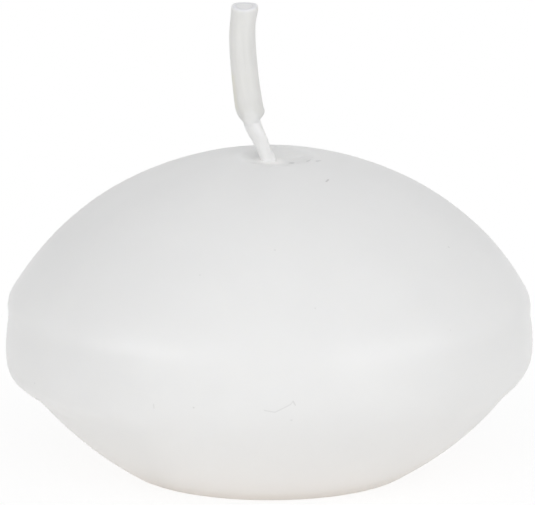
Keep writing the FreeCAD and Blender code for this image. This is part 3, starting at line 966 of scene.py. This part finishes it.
# %% Build the body
LEFT = (-1.0, 0.0, 0.0)
RIGHT = (1.0, 0.0, 0.0)
SWELLINGS = [
    # side, height, spread, amount in mm
    (LEFT, 8.3, 1.15, 0.36),
    (RIGHT, 4.6, 3.0, 0.22),
    (RIGHT, 19.0, 2.6, 0.10),
    (RIGHT, 23.5, 2.0, 0.08),
    (LEFT, 14.6, 1.0, 0.05),
    (LEFT, 23.5, 2.0, 0.05),
]
PITS = [
    # centre, radius, depth in mm
    ((1.85, -1.30, 26.95), 0.26, 0.20),
    ((3.25, -0.95, 27.15), 0.20, 0.10),
    ((4.00, -1.50, 27.25), 0.22, 0.10),
    ((4.90, -7.10, 26.10), 0.16, 0.09),
    ((0.45, -1.55, 26.90), 0.24, 0.09),
    ((-1.30, -0.90, 27.00), 0.30, 0.07),
    ((2.60, 0.90, 27.05), 0.28, 0.10),
]
# The larger this power is, the nearer to the side the crease stops being crisp.
LEFT_POWER = 3.5
RIGHT_POWER = 4.0
# How deep the dish is where its mask is full, how far out the collar reaches, and where it sets in.
MASK_DEPTH = 0.25 * MM
COLLAR_SPREAD = 0.35 * MM
COLLAR_HEIGHTS = (26.5 * MM, 26.7 * MM)
# The wick leaves the dish a little to the left, and its mouth moves with it.
MOUTH_SHIFT = -0.18 * MM
MOUTH_REACH = (0.7 * MM, 2.6 * MM)
MOUTH_RISE = (25.0 * MM, 27.0 * MM)


def softened(tree, entry, turned):
    """The turned body with its crease and kink worn soft, least at the sides."""
    soft = value_at(tree, entry["Section"], kept_number(tree, "softening"), kept_number(tree, "row"), "FLOAT")
    out = outward(position(tree))
    to_right = parts_of(out)["X"]
    to_left = -to_right
    left = sums("POWER", sums("MAXIMUM", to_left, 0.0), LEFT_POWER)
    right = sums("POWER", sums("MAXIMUM", to_right, 0.0), RIGHT_POWER)
    crisp = right * entry["Right Seam"] + left
    ease = soft * (1.0 - crisp)
    return move(tree, turned, Offset=vectors("SCALE", out, Scale=ease))


def dished(tree, entry, pushed, place):
    """The body with its rough dish pressed in and the collar raised round the wick."""
    parts = parts_of(place)
    centre = parts_of(entry["Dish Centre"])
    flat_place = vector_of(parts["X"], parts["Y"])
    flat_centre = vector_of(centre["X"], centre["Y"])
    patchy = noise(place, 420.0, 2.0, 0.5) - 0.5
    shift = patchy * entry["Dish Waver"]
    away = vectors("DISTANCE", flat_place, flat_centre)
    ball_square = entry["Dish Radius"] * entry["Dish Radius"]
    inside = ball_square - away * away
    drop = sums("SQRT", sums("MAXIMUM", inside, 0.0))
    ball = centre["Z"] - drop + shift
    mask = fade(parts["Z"] - ball, 0.0, MASK_DEPTH)
    pressed = sums("SMOOTH_MIN", parts["Z"], ball, entry["Dish Rim"])

    rough = noise(place, 1300.0, 3.0, 0.6) - 0.5
    lump = rough * entry["Dish Roughness"] * 2.0
    radius = vectors("LENGTH", flat_place)
    from_wick = (radius - MOUTH * MM) / COLLAR_SPREAD
    climb = sums("EXPONENT", -from_wick)
    climb = climb * fade(parts["Z"], *COLLAR_HEIGHTS)
    collar = climb * entry["Collar Height"]
    height = pressed + lump * mask + collar

    near_mouth = fade(radius, *MOUTH_REACH, 1.0, 0.0)
    mouth = near_mouth * fade(parts["Z"], *MOUTH_RISE)
    x = parts["X"] + mouth * MOUTH_SHIFT
    marked = store(tree, pushed, "dish", mask)
    return move(tree, marked, Position=vector_of(x, parts["Y"], height))


def body_tree():
    """The whole body, from its section to its wavering skin."""
    tree, entry, finish = new_tree(
        "cast_candle_body",
        "GeometryNodeTree",
        [
            ("Section", GEOMETRY, None),
            ("Turns", INT, 360),
            ("Dish Centre", VECTOR, (0.0009, -0.0004, 0.0367)),
            ("Dish Radius", FLOAT, 0.0099),
            ("Dish Rim", FLOAT, 0.00030),
            ("Dish Waver", FLOAT, 0.00045),
            ("Dish Roughness", FLOAT, 0.00009),
            ("Collar Height", FLOAT, 0.00016),
            ("Skin Waver", FLOAT, 0.00003),
            ("Right Seam", FLOAT, 0.8),
            ("Material", "Material", None),
        ],
        [("Geometry", GEOMETRY)],
    )
    turned = turned_mesh(tree, entry)
    sides = [swelling(tree, side, z * MM, spread * MM, amount * MM) for side, z, spread, amount in SWELLINGS]
    pushed = move(tree, softened(tree, entry, turned), Offset=add_up(sides))
    place = position(tree)
    with_dish = dished(tree, entry, pushed, place)
    pitted = move(tree, with_dish, Offset=add_up([dent(tree, *pit) for pit in PITS]))
    broad = noise(place, 120.0, 2.0, 0.5)
    inwards = -(broad * entry["Skin Waver"])
    normal = put(tree, "GeometryNodeInputNormal")[0]
    wavering = move(tree, pitted, Offset=vectors("SCALE", normal, Scale=inwards))
    finish_tree(tree, wavering, entry["Material"], finish["Geometry"])
    return tree


body = run_tree(body_tree(), "candle_body", body_source, {"Material": BODY_WAX})
report(body)
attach(body, "root")
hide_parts("wax_body")

# %% [markdown]
# ## The wick's line
#
# The wick runs straight up through the wax, leaves it in the dish, leans to one side and straightens again.
# A NURBS curve with a few control points gives that line without kinks. Both the wick and its sleeve are
# first made straight, along Z, and are then bent along this line, because streaks and threads are easy to
# lay out on a straight piece.

# %% The line and the bending group
WICK_LINE = [
    # x, z in mm
    (0.0, 0.30), (0.0, 12.0), (0.0, 24.0), (0.0, 26.7), (-0.43, 27.65), (-0.78, 28.75), (-1.35, 29.9),
    (-1.73, 31.4), (-2.13, 34.6), (-2.35, 37.4), (-2.28, 39.2), (-2.10, 40.62),
]


def wick_line():
    """The wick's middle line, as a curve in the XZ plane."""
    data = bpy.data.curves.new("wick_line", "CURVE")
    data.dimensions = "3D"
    data.resolution_u = 24
    spline = data.splines.new("NURBS")
    spline.points.add(len(WICK_LINE) - 1)
    for point, (x, z) in zip(spline.points, WICK_LINE):
        point.co = (x * MM, 0.0, z * MM, 1.0)
    spline.order_u = 3
    spline.use_endpoint_u = True
    line = bpy.data.objects.new("wick_line", data)
    scene.collection.objects.link(line)
    return line


def points_along(line):
    """The line's points, and the length up to each."""
    depsgraph = bpy.context.evaluated_depsgraph_get()
    mesh = bpy.data.meshes.new_from_object(line.evaluated_get(depsgraph))
    points = np.array([vertex.co for vertex in mesh.vertices])
    bpy.data.meshes.remove(mesh)
    lengths = np.r_[0.0, np.cumsum(np.linalg.norm(np.diff(points, axis=0), axis=1))]
    return points, lengths


def bending_group():
    """Bends a mesh that stands along Z so that it follows a line in the XZ plane."""
    tree, entry, finish = new_tree(
        "bent_along_line",
        "GeometryNodeTree",
        [("Mesh", GEOMETRY, None), ("Line", "Object", None)],
        [("Mesh", GEOMETRY)],
    )
    line = put(tree, "GeometryNodeObjectInfo", {"Object": entry["Line"]})["Geometry"]
    parts = parts_of(position(tree))
    inputs = {"Curves": line, "Length": parts["Z"]}
    sample = put(tree, "GeometryNodeSampleCurve", inputs, mode="LENGTH")
    sideways = vectors("NORMALIZE", vectors("CROSS_PRODUCT", (0.0, 1.0, 0.0), sample["Tangent"]))
    place = vectors("ADD", sample["Position"], vectors("SCALE", sideways, Scale=parts["X"]))
    place = vectors("ADD", place, vector_of(y=parts["Y"]))
    link(move(tree, entry["Mesh"], Position=place), finish["Mesh"])
    return tree


LINE = wick_line()
BENT = bending_group()
line_points, line_lengths = points_along(LINE)


def length_at_height(height):
    """How far along the wick a height is."""
    return float(np.interp(height, line_points[:, 2], line_lengths))


print("wick length in mm:", round(float(line_lengths[-1]) / MM, 2))

# %% [markdown]
# ## The braid and the cut
#
# The wick is a round braid: three strands wind one way and three the other, and each passes over one and
# under the next. Wax fills it, so only its soft ridges show. One group gives the height of the ridges as a
# rule: two rows of waves that wind against each other, of which the upper one at each crossing wins. Six
# separate tubes would show the strands too sharply, as if the wick were dry. A second group tilts a cut
# end.

# %% Groups for the braid and the cut
# How high a strand is, how much more or less it gets at a crossing, and how softly two strands meet.
STRAND_HEIGHT = 0.75
CROSSING_LEAD = 0.3
STRANDS_MEET = 0.12
CUT_HEIGHT = 40.38 * MM
SLEEVE_FOOT_HEIGHT = 29.92 * MM


def braid_group():
    """The braid's push, its ridges, and which of the two windings is on top."""
    tree, entry, finish = new_tree(
        "braid_under_wax",
        "GeometryNodeTree",
        [("Pitch", FLOAT, BRAID_PITCH), ("Strands", FLOAT, BRAID_STRANDS), ("Relief", FLOAT, 0.00007)],
        [("Push", VECTOR), ("Ridge", FLOAT), ("Over", FLOAT)],
    )
    place = position(tree)
    parts = parts_of(place)
    angle = sums("ARCTAN2", parts["Y"], parts["X"])
    turn = parts["Z"] / entry["Pitch"] * (2 * math.pi)
    crossing = sums("COSINE", turn * entry["Strands"])
    waves = []
    for operation, lead in (("SUBTRACT", CROSSING_LEAD), ("ADD", -CROSSING_LEAD)):
        phase = sums(operation, angle, turn) * entry["Strands"]
        wave = sums("COSINE", phase) * 0.5 + 0.5
        strand = crossing * lead + STRAND_HEIGHT
        waves.append(wave * strand)
    ridge = sums("SMOOTH_MAX", *waves, STRANDS_MEET)
    relief = ridge * entry["Relief"]
    link(vectors("SCALE", outward(place), Scale=relief), finish["Push"])
    link(ridge, finish["Ridge"])
    link(sums("GREATER_THAN", *waves), finish["Over"])
    return tree


def cut_group():
    """A push along Z that tilts the end of a straight piece and raises its sides."""
    tree, entry, finish = new_tree(
        "tilted_cut",
        "GeometryNodeTree",
        [
            ("Top", FLOAT, 0.0),
            ("Reach", FLOAT, 0.002),
            ("To Side", FLOAT, 0.12),
            ("To Back", FLOAT, 0.13),
            ("Ends Up", FLOAT, 100.0),
        ],
        [("Push", VECTOR)],
    )
    parts = parts_of(position(tree))
    below = (entry["Top"] - parts["Z"]) / entry["Reach"]
    share = fade(below, 0.05, 1.0, 1.0, 0.0)
    to_side = parts["X"] * entry["To Side"]
    tilt = parts["Y"] * entry["To Back"] + to_side
    ends = parts["X"] * parts["X"] * entry["Ends Up"]
    rise = (tilt + ends) * share
    link(vector_of(z=rise), finish["Push"])
    return tree


BRAID = braid_group()
CUT = cut_group()
CUT_LENGTH = length_at_height(CUT_HEIGHT)
SLEEVE_FOOT = length_at_height(SLEEVE_FOOT_HEIGHT)
print("groups:", BRAID.name, CUT.name)

# %% [markdown]
# ## The wick
#
# The wick itself is a long thin turning with a flat end. Its rows are close together where it shows and far
# apart inside the wax. It is narrower where it leaves the dish, and below the sleeve a film of wax makes it
# thicker on the left. A swept circle would give the same cord, but without rows for the braid to push.

# %% Build the wick
# All in mm. The film is as thick as its tree's input says, and fades this far up and down.
FILM_HEIGHT = 30.70
FILM_SPREAD = 1.3
WICK_CUT_FADE = (0.02, 0.30)
CORE_RADIUS = 0.64
WICK_THICKNESS = [
    # length along the wick, radius in mm
    (0.0, 0.64), (24.6, 0.64), (25.8, 0.57), (26.7, 0.60), (27.1, 0.56), (27.6, 0.56), (28.4, 0.59),
    (29.2, 0.63), (30.0, 0.64), (41.0, 0.64),
]
WICK_END = [
    # radius, depth below the cut in mm
    (CORE_RADIUS, 0.04), (CORE_RADIUS - 0.01, 0.015), (CORE_RADIUS - 0.05, 0.0), (0.3, 0.0), (0.0, 0.0),
]


def wick_tree():
    """The wick, made straight with its braid, film and cut, and then bent along the line."""
    tree, entry, finish = new_tree(
        "braided_wick",
        "GeometryNodeTree",
        [
            ("Section", GEOMETRY, None),
            ("Line", "Object", None),
            ("Turns", INT, 60),
            ("Film Height", FLOAT, length_at_height(FILM_HEIGHT * MM)),
            ("Film", FLOAT, 0.00010),
            ("Material", "Material", None),
        ],
        [("Geometry", GEOMETRY)],
    )
    turned = turned_mesh(tree, entry, **{"Closing Rows": 0})
    braid = sub_tree(tree, BRAID, {})
    place = position(tree)
    to_top = CUT_LENGTH - parts_of(place)["Z"]
    kept = store(tree, turned, "run", place, "FLOAT_VECTOR")
    # Where the cut end is. The material paints it lighter and cooler, a painted cool light.
    kept = store(tree, kept, "cut", fade(to_top, *[end * MM for end in WICK_CUT_FADE], 1.0, 0.0))
    kept = store(tree, kept, "ridge", braid["Ridge"])
    kept = store(tree, kept, "over", braid["Over"])
    film = swelling(tree, LEFT, entry["Film Height"], FILM_SPREAD * MM, entry["Film"])
    cut = sub_tree(tree, CUT, {"Top": CUT_LENGTH})["Push"]
    pushed = move(tree, kept, Offset=add_up([braid["Push"], film, cut]))
    bent = sub_tree(tree, BENT, {"Mesh": pushed, "Line": entry["Line"]})["Mesh"]
    finish_tree(tree, bent, entry["Material"], finish["Geometry"])
    return tree


cut_mm = CUT_LENGTH / MM
hidden = np.linspace(0.34, 25.0, 60)
shown = np.linspace(25.1, cut_mm - 0.1, 150)
wick_rows = [(0.0, 0.0), (CORE_RADIUS - 0.04, 0.0)]
wick_rows += [(float(np.interp(length, *zip(*WICK_THICKNESS))), length) for length in (0.04, *hidden, *shown)]
wick_rows += [(radius, cut_mm - below) for radius, below in WICK_END]
wick_source = line_object("wick_section", wick_rows)
wick = run_tree(wick_tree(), "braided_wick", wick_source, {"Line": LINE, "Material": COTTON})
report(wick)
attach(wick, "root")
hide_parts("wick")

# %% [markdown]
# ## The sleeve of dipped wax
#
# The sleeve is a tube that is thicker than the wick. Its lower end runs out into the film on the wick, with
# a notch and a low bulge on the right. Its sides waver, and its top was cut slanting, with a soft rim. It
# is turned from its own section, pushed by the same groups as the body and the wick, and bent along the
# wick's line. It also keeps where its wax is thin, a tongue that runs up in front and behind, and where its
# cut end is. The material paints the tongue lighter, partly as painted light on the shaded lower sides, and
# the cut end lighter and cooler as a painted cool light. Its inner wall lies inside the wick, so that no gap
# shows between the two.

# %% Build the sleeve
SLEEVE_LOW = [
    # radius, height above the sleeve's foot in mm
    (0.58, 0.0), (0.60, 0.03), (0.64, 0.14), (0.68, 0.28), (0.73, 0.44), (0.80, 0.60), (0.88, 0.76),
    (0.97, 0.94), (1.06, 1.13), (1.13, 1.34), (1.175, 1.60),
]
SLEEVE_SIDE = [
    # radius in mm, share of the sleeve's length
    (1.185, 0.20), (1.165, 0.30), (1.15, 0.40), (1.145, 0.52), (1.135, 0.64), (1.12, 0.75), (1.10, 0.85),
    (1.085, 0.91),
]
SLEEVE_RIM = [
    # radius, depth below the cut in mm
    (1.09, 0.62), (1.10, 0.44), (1.105, 0.26), (1.095, 0.14), (1.06, 0.06), (1.01, 0.02), (0.94, 0.004),
    (0.84, 0.0), (0.72, 0.0), (0.64, 0.01),
]
SLEEVE_BORE = 0.56
RIGHT_SWELLINGS = [
    # the end it is measured from, height from there, spread, amount in mm: the lip, the low bulge, the notch
    ("Top", -0.55, 0.55, 0.09),
    ("Foot", 0.95, 0.42, 0.20),
    ("Foot", 0.38, 0.22, -0.07),
]
# The tongue of thin wax, which the material also paints lighter as painted light on the shaded lower sides:
# its middle, how its half width fades, and its length in the middle and at the sides.
TONGUE_MIDDLE = -0.05 * MM
TONGUE_WIDTH = (0.2 * MM, 0.75 * MM)
TONGUE_LENGTH = (2.4 * MM, 1.2 * MM)
SLEEVE_CUT_DEPTH = 0.14 * MM
WAVER_FREE_DEPTH = 0.3 * MM
WAVER_SHORTENED = (1.0, 1.0, 0.25)


def sleeve_tree():
    """The sleeve, made straight with its swellings, cut and waver, and then bent along the line."""
    tree, entry, finish = new_tree(
        "dipped_sleeve",
        "GeometryNodeTree",
        [
            ("Section", GEOMETRY, None),
            ("Line", "Object", None),
            ("Turns", INT, 72),
            ("Foot", FLOAT, SLEEVE_FOOT),
            ("Top", FLOAT, CUT_LENGTH),
            ("Waver", FLOAT, 0.00007),
            ("Material", "Material", None),
        ],
        [("Geometry", GEOMETRY)],
    )
    turned = turned_mesh(tree, entry)
    place = position(tree)
    parts = parts_of(place)
    to_top = entry["Top"] - parts["Z"]
    off_middle = sums("ABSOLUTE", parts["X"] - TONGUE_MIDDLE)
    tongue = fade(off_middle, *TONGUE_WIDTH, *TONGUE_LENGTH)
    along_tongue = (parts["Z"] - entry["Foot"]) / tongue
    kept = store(tree, turned, "run", place, "FLOAT_VECTOR")
    # Where the cut end is. The material paints it lighter and cooler, a painted cool light.
    kept = store(tree, kept, "cut", fade(to_top, 0.0, SLEEVE_CUT_DEPTH, 1.0, 0.0))
    # Where the wax is thin. The material paints it lighter, partly as painted light on the shaded lower
    # sides.
    kept = store(tree, kept, "thin", fade(along_tongue, 0.1, 1.0, 1.0, 0.0))
    pushes = [
        swelling(tree, RIGHT, entry[end] + up * MM, spread * MM, amount * MM)
        for end, up, spread, amount in RIGHT_SWELLINGS
    ]
    pushes.append(sub_tree(tree, CUT, {"Top": entry["Top"]})["Push"])
    pushed = move(tree, kept, Offset=add_up(pushes))
    uneven = noise(vectors("MULTIPLY", place, WAVER_SHORTENED), 900.0, 2.0, 0.5)
    waver = (uneven - 0.5) * entry["Waver"]
    waver = waver * fade(to_top, 0.0, WAVER_FREE_DEPTH)
    normal = put(tree, "GeometryNodeInputNormal")[0]
    wavering = move(tree, pushed, Offset=vectors("SCALE", normal, Scale=waver))
    bent = sub_tree(tree, BENT, {"Mesh": wavering, "Line": entry["Line"]})["Mesh"]
    finish_tree(tree, bent, entry["Material"], finish["Geometry"])
    return tree


foot_mm = SLEEVE_FOOT / MM
outer = [(radius, foot_mm + above) for radius, above in SLEEVE_LOW]
outer += [(radius, foot_mm + share * (cut_mm - foot_mm)) for radius, share in SLEEVE_SIDE]
outer += [(radius, cut_mm - below) for radius, below in SLEEVE_RIM]
inner = [(SLEEVE_BORE, height) for height in np.linspace(cut_mm - 0.10, foot_mm + 0.10, 30)]
sleeve_source = line_object("sleeve_section", [*smooth_line(outer, 0.08), *inner])
sleeve = run_tree(sleeve_tree(), "dipped_sleeve", sleeve_source, {"Line": LINE, "Material": SLEEVE_WAX})
report(sleeve)
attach(sleeve, "root")
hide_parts("wick_wax_coat")
bpy.data.objects.remove(LINE)

# %% [markdown]
# ## The tab
#
# The tab is one stamping: a flat flange with a pressed ring that stiffens it, a low cone, and a neck that
# grips the wick. It is turned from a section of even thickness. It shows only from below.

# %% Build the tab
TAB = [
    # radius, height in mm
    (6.25, 0.42), (6.25, 0.55), (5.3, 0.55), (4.95, 0.46), (4.45, 0.46), (4.1, 0.55), (2.6, 0.55),
    (0.95, 1.35), (0.95, 3.70), (0.70, 3.70), (0.70, 1.10), (2.6, 0.30), (4.1, 0.30), (4.45, 0.21),
    (4.95, 0.21), (5.3, 0.30), (6.25, 0.30), (6.25, 0.42),
]


def tab_tree():
    """The tab, which is a turned section and nothing more."""
    tree, entry, finish = new_tree(
        "stamped_tab",
        "GeometryNodeTree",
        [("Section", GEOMETRY, None), ("Turns", INT, 144), ("Material", "Material", None)],
        [("Geometry", GEOMETRY)],
    )
    turned = turned_mesh(tree, entry)
    finish_tree(tree, turned, entry["Material"], finish["Geometry"])
    return tree


tab_source = line_object("tab_section", eased_corners(TAB, 0.08)[:-1])
tab = run_tree(tab_tree(), "stamped_tab", tab_source, {"Material": TIN})
report(tab)
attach(tab, "root")
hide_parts("wick_sustainer")

# %% [markdown]
# ## Floor and background
#
# The candle stands on a pale floor in front of white. The camera sees the floor as nearly white near the
# candle and white further off, while its own shade still shows, so the candle's soft shadow stays. The
# floor glows a little, as a light table does, and a shade warmer and brighter near the foot.
# The world is white to the camera and in reflections, and a plain grey light for everything else. A white
# floor alone would turn grey further off.

# %% Make the floor and the world
WHITE = (1.0, 1.0, 1.0)
WARM_WHITE = (1.0, 0.86, 0.73)
FLOOR_COLOUR = (0.93, 0.925, 0.915)
FLOOR_SIZE = 6.0
AMBIENT = 0.366
FLOOR_GLOW = 0.198
NEAR_GLOW = 0.238
# Where a fade starts and ends, in metres from the middle of the foot, and how white the floor is there.
GLOW_FADE = (0.008, 0.030)
WHITE_FADE = (0.015, 0.06)
WHITENESS = (0.86, 1.0)


def white_for_camera(tree):
    """1 for camera, mirror and see-through rays, which show the white background."""
    path = put(tree, "ShaderNodeLightPath")
    seen = sums("MAXIMUM", path["Is Camera Ray"], path["Is Glossy Ray"])
    return sums("MAXIMUM", seen, path["Is Transmission Ray"])


def pale_floor():
    """A dull floor with a little glow, which the camera sees as nearly white."""
    material, tree, shader = new_material("pale_floor")
    distance = vectors("LENGTH", put(tree, "ShaderNodeTexCoord")["Object"])
    near = fade(distance, *GLOW_FADE, 1.0, 0.0)
    fill(shader, {
        "Base Color": (*FLOOR_COLOUR, 1.0),
        "Roughness": 0.9,
        "Specular IOR Level": 0.1,
        "Emission Color": tint_between(near, WHITE, WARM_WHITE),
        "Emission Strength": near * (NEAR_GLOW - FLOOR_GLOW) + FLOOR_GLOW,
    })
    whiteness = fade(distance, *WHITE_FADE, *WHITENESS)
    share = white_for_camera(tree) * whiteness
    white = put(tree, "ShaderNodeEmission", {"Color": (*WHITE, 1.0), "Strength": 1.0})
    mixed = put(tree, "ShaderNodeMixShader", {0: share, 1: shader.outputs[0], 2: white[0]})
    link(mixed[0], tree.nodes["Material Output"].inputs["Surface"])
    return material


half = FLOOR_SIZE / 2
floor_mesh = bpy.data.meshes.new("floor")
floor_corners = [(-half, -half, 0), (half, -half, 0), (half, half, 0), (-half, half, 0)]
floor_mesh.from_pydata(floor_corners, [], [(0, 1, 2, 3)])
floor_mesh.materials.append(pale_floor())
floor = bpy.data.objects.new("floor", floor_mesh)
scene.collection.objects.link(floor)

world = bpy.data.worlds.new("studio")
world.use_nodes = True
scene.world = world
sky = world.node_tree
grey_sky = sky.nodes["Background"]
fill(grey_sky, {"Color": (*WHITE, 1.0), "Strength": AMBIENT})
white_sky = put(sky, "ShaderNodeBackground", {"Color": (*WHITE, 1.0), "Strength": 1.0})
mixed_sky = put(sky, "ShaderNodeMixShader", {
    0: white_for_camera(sky),
    1: grey_sky.outputs[0],
    2: white_sky[0],
})
link(mixed_sky[0], sky.nodes["World Output"].inputs["Surface"])
print("floor and world made")

# %% [markdown]
# ## Lamps
#
# The soft bright band on the candle's lip has two brighter stretches, one on each side. Two cards, 55
# degrees to the left and 56 to the right and about 21 degrees up, give them. They show in reflections and
# light nothing. The shading comes from two soft boxes, a front fill and a wide weak lamp above, which light
# the wax but don't show in it. The camera sees no lamp. One set of lamps for both would tie the bright
# stretches to the shading, and moving one would spoil the other.

# %% Set up the lamps
AIM_HEIGHT = 15.0 * MM
LAMPS = [
    # name, turn to the right in degrees, elevation, distance, width, height, share of the full level, use
    ("left_soft_box", -44.0, 19.0, 0.45, 0.34, 0.24, 0.113, "light"),
    ("right_soft_box", 62.0, 32.0, 0.45, 0.38, 0.26, 0.150, "light"),
    ("front_fill", 0.0, 38.0, 0.50, 0.44, 0.30, 0.274, "light"),
    ("top_fill", 0.0, 90.0, 0.60, 0.80, 0.80, 0.198, "light"),
    ("left_card", -55.0, 21.5, 0.45, 0.36, 0.14, 0.135, "gloss"),
    ("right_card", 56.0, 20.0, 0.45, 0.44, 0.13, 0.120, "gloss"),
]
for name, turn_degrees, rise_degrees, distance, width, height, share, use in LAMPS:
    lamp_data = bpy.data.lights.new(name, "AREA")
    lamp_data.shape = "RECTANGLE"
    lamp_data.size = width
    lamp_data.size_y = height
    lamp_data.energy = share * math.pi**2 * distance**2
    lamp = bpy.data.objects.new(name, lamp_data)
    turn = math.radians(turn_degrees)
    rise = math.radians(rise_degrees)
    direction = Vector((math.sin(turn) * math.cos(rise), -math.cos(turn) * math.cos(rise), math.sin(rise)))
    lamp.location = Vector((0, 0, AIM_HEIGHT)) + distance * direction
    lamp.rotation_euler = direction.to_track_quat("Z", "Y").to_euler()
    lamp.visible_glossy = use == "gloss"
    lamp.visible_diffuse = use == "light"
    lamp.visible_camera = False
    scene.collection.objects.link(lamp)
    print(name, "energy in W:", round(lamp_data.energy, 3))
